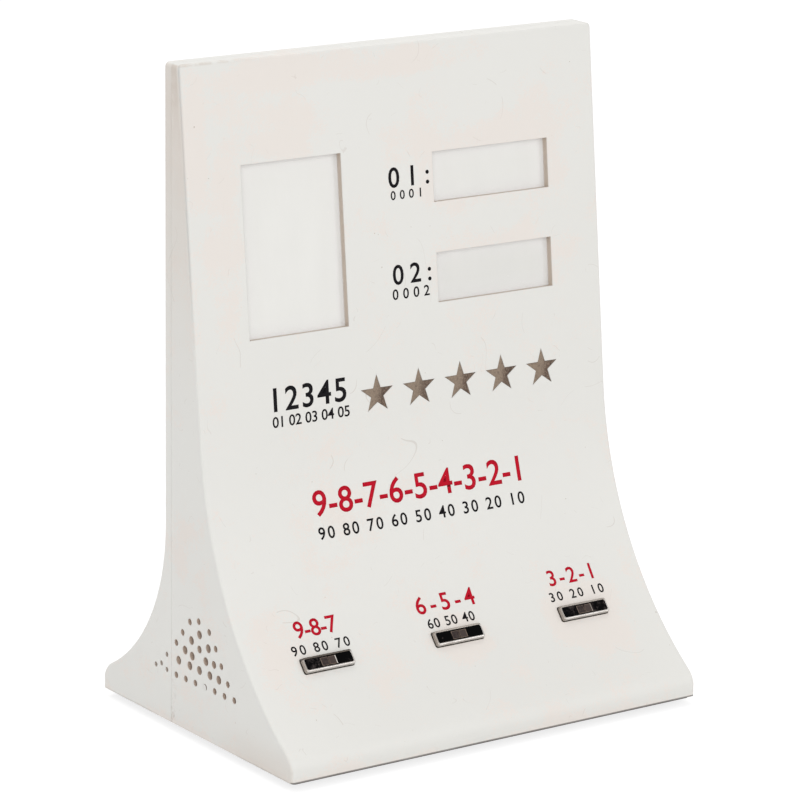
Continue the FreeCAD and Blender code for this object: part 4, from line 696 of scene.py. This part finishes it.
def circuit_board(name, look):
    """Solder mask with copper traces and pads under it."""
    paint = Finish(name)
    rows = abs(paint.wrapped(paint.x + 3 * MM * paint.noise(60, 0), BOARD_PITCH))
    columns = abs(paint.wrapped(paint.y + 0.6 * paint.z + 3 * MM * paint.noise(45, 0), BOARD_PITCH))
    pick = paint.noise(70, 0)
    traces = (rows < 0.3 * MM) * (pick > 0.52) + (columns < 0.3 * MM) * (pick < 0.47)
    tone = paint.blend(traces, look.board, look.trace)
    pads = paint.specks(240, 0.14, 0.35)
    tone = paint.blend(pads, tone, look.steel)
    return paint.done(Base_Color=tone, Roughness=0.32 + 0.1 * paint.noise(800, 2), Metallic=0.7 * pads,
                      Normal=paint.bump(traces + pads, 0.04 * MM, 0.6))


def board_parts(name, look):
    """Chip cases, with the two cans and the crystal in bright metal."""
    paint = Finish(name)
    cans = (paint.x > 25 * MM) * (paint.y > 7 * MM)
    crystal = (paint.x < -10 * MM) * (paint.y > 15 * MM)
    sleeve = cans * (paint.z < 18 * MM)
    metal = cans + crystal - sleeve
    grit = paint.noise(1400, 3, 0.6)
    tone = paint.blend(paint.ramp(grit, 0.4, 0.7) * 0.4, look.epoxy, scaled(look.epoxy, 1.8))
    tone = paint.blend(sleeve, tone, screen(34, 48, 82))
    tone = paint.blend(metal, tone, look.steel)
    return paint.done(Base_Color=tone, Metallic=metal, Roughness=0.5 - 0.22 * metal + 0.1 * grit,
                      Normal=paint.bump(grit, 0.02 * MM, 0.5))


def socket_metal(name, look):
    """Tinned shell of the data socket round its black contact block."""
    paint = Finish(name)
    block = (abs(paint.x) < 2.85 * MM) * (abs(paint.z - SOCKET_LEVEL) < 1.65 * MM)
    block = block * (paint.y < 30.9 * MM)
    brush = paint.noise(900, 3, 0.6, paint.stretched((1, 0.15, 1)))
    tone = paint.blend(paint.ramp(brush, 0.3, 0.75) * 0.3, look.steel, scaled(look.steel, 0.7))
    tone = paint.blend(block, tone, look.epoxy)
    return paint.done(Base_Color=tone, Metallic=1 - block, Roughness=0.28 + 0.14 * brush + 0.15 * block,
                      Normal=paint.bump(brush, 0.02 * MM, 0.3))


def flat_lead(name, look):
    """Ribbon lead with a rib for each wire and painted shade in the grooves between them."""
    paint = Finish(name)
    rib = abs(paint.wrapped(paint.x, WIRE_PITCH))
    groove = paint.ramp(rib, 0.42 * MM, 0.62 * MM)
    # Painted shade in the grooves between the wires
    tone = paint.blend(groove * 0.6, look.ribbon, scaled(look.ribbon, 0.55))
    return paint.done(Base_Color=tone, Roughness=0.5 + 0.1 * paint.noise(600, 2),
                      Normal=paint.bump(1 - groove, 0.12 * MM, 0.8))


class TERMINAL_OT_housing(bpy.types.Operator):
    """Finish the two moulded shells"""

    bl_idname = "terminal.housing"
    bl_label = "Housing"

    def execute(self, context):
        look = context.scene.terminal_shell
        dress(moulded("moulded_front", look.plastic, look), "front_shell")
        dress(moulded("moulded_rear", look.rear_plastic, look), "rear_shell")
        return {"FINISHED"}


def disc(radius, depth, place):
    """A short cylinder that lies along X."""
    bpy.ops.object.select_all(action="DESELECT")
    bpy.ops.mesh.primitive_cylinder_add(vertices=32, radius=radius, depth=depth, location=place,
                                        rotation=(0, math.pi / 2, 0))
    piece = bpy.context.object
    settle(piece)
    return piece


class TERMINAL_OT_flash(bpy.types.Operator):
    """Leave moulding flash in one grille hole, with a crescent open above it"""

    bl_idname = "terminal.flash"
    bl_label = "Moulding flash"

    def execute(self, context):
        flash = disc(1.02 * MM, 0.12 * MM, FLASHED_HOLE)
        keep = disc(1.1 * MM, 2 * MM, FLASHED_HOLE + Vector((0, 0.5 * MM, -0.3 * MM)))
        apply_modifier(flash, "BOOLEAN", object=keep, operation="INTERSECT", solver="EXACT")
        bpy.data.objects.remove(keep)
        apply_modifier(flash, "BEVEL", width=0.03 * MM, segments=2)
        finish_piece(flash, "grille_flash", bpy.data.materials["moulded_front"])
        return {"FINISHED"}


class TERMINAL_OT_windows(bpy.types.Operator):
    """Finish the card holder, the cards and the clear panes"""

    bl_idname = "terminal.windows"
    bl_label = "Windows"

    def execute(self, context):
        look = context.scene.terminal_face
        dress(plain_plastic("holder_plastic", look.card, 0.5), "card_holder")
        for name, white in (("photo", 1.0), ("name", 0.985), ("number", 0.93)):
            dress(paper(name + "_paper", scaled(look.card, white), 0.02 * MM), name + "_card")
            film = clear_film(name + "_film", scaled(look.pane, white), look.pane_cover)
            dress(film, name + "_pane")
        return {"FINISHED"}


class TERMINAL_OT_stars(bpy.types.Operator):
    """Finish the smoky star strip and the lamps of the stars and keys"""

    bl_idname = "terminal.stars"
    bl_label = "Stars"

    def execute(self, context):
        dress(smoky_stars("smoky_strip", context.scene.terminal_face), "star_lens")
        lamp = plain_plastic("lamp_resin", screen(214, 206, 190), 0.2)
        dress(lamp, "star_lamps", "key_lamps")
        return {"FINISHED"}


class TERMINAL_OT_keys(bpy.types.Operator):
    """Finish the caps, lenses, light guides and switches of the three keys"""

    bl_idname = "terminal.keys"
    bl_label = "Keys"

    def execute(self, context):
        look = context.scene.terminal_keys
        inside = context.scene.terminal_inside
        lens = black_lens("key_black", look)
        stems = plain_plastic("stem_nylon", inside.nylon, 0.4)
        for key, middle in KEYS.items():
            left_end = middle - KEY_HALF_LENGTH
            plating = plated(key + "_plating", look.plating, look.tarnish_and_shade, 0.14, 0.5 * MM, left_end,
                             UPHILL_RIM_SHADES[key])
            dress(plating, key + "_key_cap")
            dress(lens, key + "_key_lens")
            dress(smoky_guide(key + "_guide_smoke", middle, GLINTS[key], look), key + "_light_guide")
            dress(stems, key + "_switch_stems")
        dress(plain_plastic("switch_black", inside.epoxy, 0.5), "switch_bodies")
        return {"FINISHED"}


class TERMINAL_OT_speaker(bpy.types.Operator):
    """Finish the speaker behind the grille"""

    bl_idname = "terminal.speaker"
    bl_label = "Speaker"

    def execute(self, context):
        look = context.scene.terminal_inside
        dress(paper("cone_paper", look.cone, 0.05 * MM), "speaker_cone")
        dress(plated("basket_steel", look.steel, look.zinc, 0.4), "speaker_basket")
        dress(plain_plastic("magnet_ferrite", look.epoxy, 0.6), "speaker_magnet")
        return {"FINISHED"}


class TERMINAL_OT_electronics(bpy.types.Operator):
    """Finish the boards, their parts, the plugs and the leads"""

    bl_idname = "terminal.electronics"
    bl_label = "Electronics"

    def execute(self, context):
        look = context.scene.terminal_inside
        dress(circuit_board("board_mask", look), "main_board", "key_board", "star_board")
        dress(board_parts("board_cases", look), "main_board_chips")
        dress(plain_plastic("plug_nylon", look.nylon, 0.45), "main_board_plugs", "key_board_plug",
              "star_board_plug")
        dress(flat_lead("ribbon_grey", look), "key_ribbon", "star_ribbon")
        dress(plain_plastic("lead_black", look.rubber, 0.5), "speaker_lead")
        return {"FINISHED"}


class TERMINAL_OT_base(bpy.types.Operator):
    """Finish the base plate and the rubber feet"""

    bl_idname = "terminal.base"
    bl_label = "Base"

    def execute(self, context):
        look = context.scene.terminal_inside
        dress(plain_plastic("plate_lacquer", look.lacquer, 0.4, 1300, 0.04 * MM), "base_plate")
        dress(plain_plastic("foot_rubber", look.rubber, 0.75, 1500, 0.06 * MM), "rubber_feet")
        return {"FINISHED"}


def screw_model(head_radius, head_height, core_radius, shank):
    """A pan-head screw that stands on its seat at the origin and looks along +Z."""
    bpy.ops.object.select_all(action="DESELECT")
    bpy.ops.mesh.primitive_cylinder_add(vertices=40, radius=head_radius, depth=head_height,
                                        location=(0, 0, head_height / 2))
    model = bpy.context.object
    settle(model)
    select_faces(model, lambda middle, normal: normal.z < -0.9)
    bpy.ops.mesh.inset(thickness=head_radius - core_radius)
    bpy.ops.mesh.extrude_region_move(TRANSFORM_OT_translate={"value": (0, 0, -shank)})
    bpy.ops.transform.resize(value=(0.6, 0.6, 1), center_override=(0, 0, 0))
    select_faces(model, lambda middle, normal: normal.z > 0.9)
    bpy.ops.mesh.bevel(offset=head_height * 0.62, segments=4)
    bpy.ops.object.mode_set(mode="OBJECT")
    for turn in (0, math.pi / 2):
        bpy.ops.object.select_all(action="DESELECT")
        bpy.ops.mesh.primitive_cube_add(size=1, location=(0, 0, head_height), rotation=(0, 0, turn))
        cutter = bpy.context.object
        cutter.scale = (head_radius * 1.15, head_radius * 0.24, head_height * 1.2)
        settle(cutter)
        select_faces(cutter, lambda middle, normal: normal.z < -0.9)
        bpy.ops.transform.resize(value=(0.45, 0.45, 1), center_override=(0, 0, head_height / 2))
        bpy.ops.object.mode_set(mode="OBJECT")
        apply_modifier(model, "BOOLEAN", object=cutter, operation="DIFFERENCE", solver="EXACT")
        bpy.data.objects.remove(cutter)
    select(model)
    bpy.ops.object.shade_smooth_by_angle(angle=math.radians(40))
    return model


def copies_of(model, seats, name, material, node):
    """Set a copy of a model, with its own mesh, on every seat."""
    for step, seat in enumerate(seats, 1):
        select(model)
        bpy.ops.object.duplicate(linked=False)
        piece = bpy.context.object
        piece.matrix_world = seat
        settle(piece)
        finish_piece(piece, "%s_%d" % (name, step), material)
        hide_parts(node)
    bpy.data.objects.remove(model)


class TERMINAL_OT_screws(bpy.types.Operator):
    """Model the screws that show with their cross recess, and finish the ones inside"""

    bl_idname = "terminal.screws"
    bl_label = "Screws"

    def execute(self, context):
        look = context.scene.terminal_inside
        zinc = plated("screw_zinc", look.zinc, look.steel, 0.26)
        dress(zinc, "holder_screws", "star_board_screws", "key_board_screws", "main_board_screws",
              "speaker_screws", "board_spacers", "shell_screws", "base_screws")
        low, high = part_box("shell_screws")
        rear = screw_model(SCREW_HEAD, REAR_HEAD_HEIGHT, SCREW_CORE, 6 * MM)
        backward = Matrix.Rotation(math.radians(-90), 4, "X")
        across = high.x - SCREW_HEAD
        seats = [Matrix.Translation((side * across, REAR_SEAT, level)) @ backward
                 for side in (-1, 1) for level in (low.z + SCREW_HEAD, high.z - SCREW_HEAD)]
        copies_of(rear, seats, "rear_screw", zinc, "shell_screws")
        low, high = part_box("base_screws")
        under = screw_model(SCREW_HEAD, PLATE_HEAD_HEIGHT, SCREW_CORE, 7 * MM)
        downward = Matrix.Rotation(math.pi, 4, "X")
        across = high.x - SCREW_HEAD
        lengthways = high.y - SCREW_HEAD
        level = low.z + PLATE_HEAD_HEIGHT
        seats = [Matrix.Translation((side * across, end * lengthways, level)) @ downward
                 for side in (-1, 1) for end in (-1, 1)]
        copies_of(under, seats, "plate_screw", zinc, "base_screws")
        return {"FINISHED"}


class TERMINAL_OT_socket(bpy.types.Operator):
    """Finish the data socket and set its contacts on the block in its mouth"""

    bl_idname = "terminal.socket"
    bl_label = "Data socket"

    def execute(self, context):
        look = context.scene.terminal_inside
        dress(socket_metal("socket_tin", look), "data_socket")
        gold = plated("contact_gold", look.gold, look.gold, 0.2)
        for step, (side, face) in enumerate(((-1, 1), (1, 1), (-1, -1), (1, -1)), 1):
            place = (side * CONTACT_SIDE, CONTACT_DEPTH, SOCKET_LEVEL + face * CONTACT_RISE)
            bpy.ops.object.select_all(action="DESELECT")
            bpy.ops.mesh.primitive_cube_add(size=1, location=place)
            contact = bpy.context.object
            contact.scale = CONTACT_SIZE
            settle(contact)
            apply_modifier(contact, "BEVEL", width=0.05 * MM, segments=2)
            finish_piece(contact, "socket_contact_%d" % step, gold)
        return {"FINISHED"}


PRINTS = (
    # name, figures, ink, left, right, level of the middle, height of the figures; all in millimetres
    ("name_print", "01:", "black", -3.6, 11.4, 165.0, 6.3),
    ("name_small_print", "0001", "black", -3.0, 8.2, 159.6, 2.8),
    ("number_print", "02:", "black", -3.6, 10.6, 135.5, 6.2),
    ("number_small_print", "0002", "black", -4.0, 9.7, 129.6, 3.3),
    ("level_print", "12345", "black", -48.8, -22.6, 103.4, 7.4),
    ("level_small_print", "01 02 03 04 05", "black", -49.5, -21.7, 96.7, 3.4),
    ("scale_print", "9-8-7-6-5-4-3-2-1", "red", -38.0, 39.2, 70.8, 8.1),
    ("scale_small_print", "90 80 70 60 50 40 30 20 10", "black", -37.8, 39.0, 62.2, 3.9),
    ("good_print", "9-8-7", "red", -55.0, -39.8, 38.1, 5.5),
    ("good_small_print", "90 80 70", "black", -58.2, -37.5, 33.1, 3.2),
    ("fair_print", "6-5-4", "red", -10.8, 11.0, 38.2, 5.7),
    ("fair_small_print", "60 50 40", "black", -8.8, 8.6, 33.2, 3.2),
    ("poor_print", "3-2-1", "red", 39.5, 56.5, 38.6, 5.2),
    ("poor_small_print", "30 20 10", "black", 37.8, 58.5, 33.7, 3.1),
)


def print_line(name, figures, material, left, right, level, tall, film):
    """Print a row of figures on the face: flat letters, cut into strips, laid on and thickened."""
    face = frame["nodes"]["front_shell"]
    start = Vector(((left + right) / 2, BEFORE_FACE, level))
    found, point, normal, _ = face.ray_cast(start, Vector((0, 1, 0)))
    if not found:
        raise RuntimeError("no face behind the print %s" % name)
    bpy.ops.object.select_all(action="DESELECT")
    bpy.ops.object.text_add()
    line = bpy.context.object
    line.data.body = figures
    line.data.resolution_u = 4
    line.data.offset = 0.012 if tall < 5 else -0.004
    spans = []
    for spacing in (1.0, 2.0):
        line.data.space_character = spacing
        bpy.context.view_layer.update()
        spans.append(line.dimensions.x / line.dimensions.y)
    wanted = (right - left) / tall
    line.data.space_character = min(max(1 + (wanted - spans[0]) / (spans[1] - spans[0]), 0.8), 3.0)
    bpy.context.view_layer.update()
    line.scale = ((right - left) / line.dimensions.x, tall / line.dimensions.y, 1)
    select(line)
    bpy.ops.object.convert(target="MESH")
    line = bpy.context.object
    bpy.ops.object.origin_set(type="ORIGIN_GEOMETRY", center="BOUNDS")
    line.location = (0, 0, 0)
    settle(line)
    bpy.ops.object.mode_set(mode="EDIT")
    bpy.ops.mesh.select_all(action="SELECT")
    bpy.ops.mesh.remove_doubles(threshold=0.002 * MM)
    strips = max(2, round(tall / (1.5 * MM)))
    for step in range(1, strips):
        bpy.ops.mesh.select_all(action="SELECT")
        bpy.ops.mesh.bisect(plane_co=(0, tall * (step / strips - 0.5), 0), plane_no=(0, 1, 0))
    bpy.ops.object.mode_set(mode="OBJECT")
    normal.x = 0
    normal.normalize()
    across = Vector((1, 0, 0))
    uphill = normal.cross(across)
    turned = Matrix((across, uphill, normal)).transposed().to_4x4()
    line.matrix_world = Matrix.Translation(point) @ turned
    apply_modifier(line, "SHRINKWRAP", target=face, wrap_method="PROJECT", use_project_z=True,
                   use_negative_direction=True, use_positive_direction=True, project_limit=3 * MM)
    apply_modifier(line, "SOLIDIFY", thickness=film, offset=1.0)
    settle(line)
    finish_piece(line, name, material)


class TERMINAL_OT_prints(bpy.types.Operator):
    """Print the plain figures on the face"""

    bl_idname = "terminal.prints"
    bl_label = "Prints"

    def execute(self, context):
        look = context.scene.terminal_face
        inks = {"black": ink("black_ink", look.black_ink), "red": ink("red_ink", look.red_ink)}
        for name, figures, tint, *places in PRINTS:
            print_line(name, figures, inks[tint], *[place * MM for place in places], look.film)
        return {"FINISHED"}


LAMPS = (
    # name, its power in the stage's looks, side of the square, place, tint
    ("key_light", "key_power", 1.0, (1.1, -1.75, 0.85), (1.0, 0.99, 0.97)),
    ("front_light", "front_power", 1.6, (-1.0, -1.7, 0.9), (0.985, 0.99, 1.0)),
    ("top_light", "top_power", 1.2, (0, 0.6, 1.75), (1.0, 0.99, 0.98)),
    ("left_light", "left_power", 1.2, (-1.9, 0.3, 0.8), (0.985, 0.99, 1.0)),
)


def stage_light(name, power, size, spot, target, tint):
    """A large square soft light that looks at the terminal."""
    bpy.ops.object.light_add(type="AREA", location=spot)
    lamp = bpy.context.object
    lamp.name = name
    lamp.data.energy = power
    lamp.data.size = size
    lamp.data.color = tint
    lamp.rotation_euler = (target - Vector(spot)).to_track_quat("-Z", "Y").to_euler()


def pale_floor(look):
    """A floor that shows as white and keeps the terminal's shadow."""
    bpy.ops.object.select_all(action="DESELECT")
    bpy.ops.mesh.primitive_plane_add(size=look.floor_size, location=(0, 0, 0))
    floor = bpy.context.object
    floor.name = "floor"
    paint = Finish("pale_floor")
    tone = paint.blend(paint.noise(3, 2) * 0.1, look.floor, scaled(look.floor, 0.97))
    matt = paint.add("ShaderNodeBsdfDiffuse", {"Color": tone})
    dim = paint.add("ShaderNodeBsdfDiffuse", {"Color": (0.34, 0.34, 0.34)})
    glow = paint.add("ShaderNodeEmission", {"Color": (1, 1, 1), "Strength": 0.78})
    white = paint.add("ShaderNodeAddShader", {0: dim, 1: glow})
    mixed = paint.add("ShaderNodeMixShader", {0: paint.looked_at(), 1: matt, 2: white})
    paint.add("ShaderNodeOutputMaterial", {"Surface": mixed})
    floor.data.materials.append(paint.material)
    floor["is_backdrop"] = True


def white_room(scene, look):
    """Even light from all round, which shows as plain white."""
    world = bpy.data.worlds.new("studio")
    scene.world = world
    studio = Chart(world)
    room = studio.add("ShaderNodeBackground", {"Color": (0.99, 0.99, 1.0), "Strength": look.room})
    backdrop = studio.add("ShaderNodeBackground", {"Color": (1, 1, 1)})
    mixed = studio.add("ShaderNodeMixShader", {0: studio.looked_at(), 1: room, 2: backdrop})
    studio.add("ShaderNodeOutputWorld", {"Surface": mixed})


def photo_camera(scene, look):
    """The camera that sees the terminal as the photograph does."""
    flat = math.cos(look.elevation)
    back = Vector((math.sin(look.azimuth) * flat, -math.cos(look.azimuth) * flat,
                   math.sin(look.elevation)))
    right = (-back).cross(Vector((0, 0, 1))).normalized()
    above = back.cross(right)
    turned = math.cos(look.roll) * right + math.sin(look.roll) * above
    upright = math.cos(look.roll) * above - math.sin(look.roll) * right
    bpy.ops.object.camera_add()
    camera = bpy.context.object
    camera.name = "photo_camera"
    camera.data.sensor_width = 36
    camera.data.lens = look.lens
    camera.data.clip_start = 0.05
    camera.data.clip_end = 50
    place = Matrix((turned, upright, back)).transposed().to_4x4()
    camera.matrix_world = Matrix.Translation(CAMERA_AIM + back * look.distance) @ place
    scene.camera = camera


class TERMINAL_OT_stage(bpy.types.Operator):
    """Set up the floor, the light and the camera"""

    bl_idname = "terminal.stage"
    bl_label = "Stage"

    def execute(self, context):
        look = context.scene.terminal_stage
        low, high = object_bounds()
        middle = Vector((0, 0, (low.z + high.z) / 2))
        pale_floor(look)
        white_room(context.scene, look)
        for name, power, size, spot, tint in LAMPS:
            stage_light(name, getattr(look, power), size, spot, middle, tint)
        photo_camera(context.scene, look)
        context.scene.view_settings.view_transform = "Standard"
        return {"FINISHED"}


STEPS = (
    TERMINAL_OT_housing,
    TERMINAL_OT_flash,
    TERMINAL_OT_windows,
    TERMINAL_OT_stars,
    TERMINAL_OT_keys,
    TERMINAL_OT_speaker,
    TERMINAL_OT_electronics,
    TERMINAL_OT_base,
    TERMINAL_OT_screws,
    TERMINAL_OT_socket,
    TERMINAL_OT_prints,
    TERMINAL_OT_stage,
)


class TERMINAL_PT_sidebar(bpy.types.Panel):
    """Every step of the terminal's looks"""

    bl_idname = "TERMINAL_PT_sidebar"
    bl_label = "Feedback Terminal"
    bl_space_type = "VIEW_3D"
    bl_region_type = "UI"
    bl_category = "Terminal"

    def draw(self, context):
        for step in STEPS:
            self.layout.operator(step.bl_idname)
        for name, group in LOOKS.items():
            box = self.layout.box()
            for prop in group.__annotations__:
                box.prop(getattr(context.scene, name), prop)


def register():
    """Register every class and hang the looks on the scene."""
    for group in (*LOOKS.values(), *STEPS, TERMINAL_PT_sidebar):
        bpy.utils.register_class(group)
    for name, group in LOOKS.items():
        setattr(bpy.types.Scene, name, PointerProperty(type=group))


def unregister():
    """Take the looks off the scene and unregister every class."""
    for name in LOOKS:
        delattr(bpy.types.Scene, name)
    for group in (TERMINAL_PT_sidebar, *reversed(STEPS), *LOOKS.values()):
        bpy.utils.unregister_class(group)


def main():
    """Run every step in order."""
    register()
    for step in STEPS:
        getattr(bpy.ops.terminal, step.bl_idname.split(".")[1])()


if __name__ == "__main__":
    main()
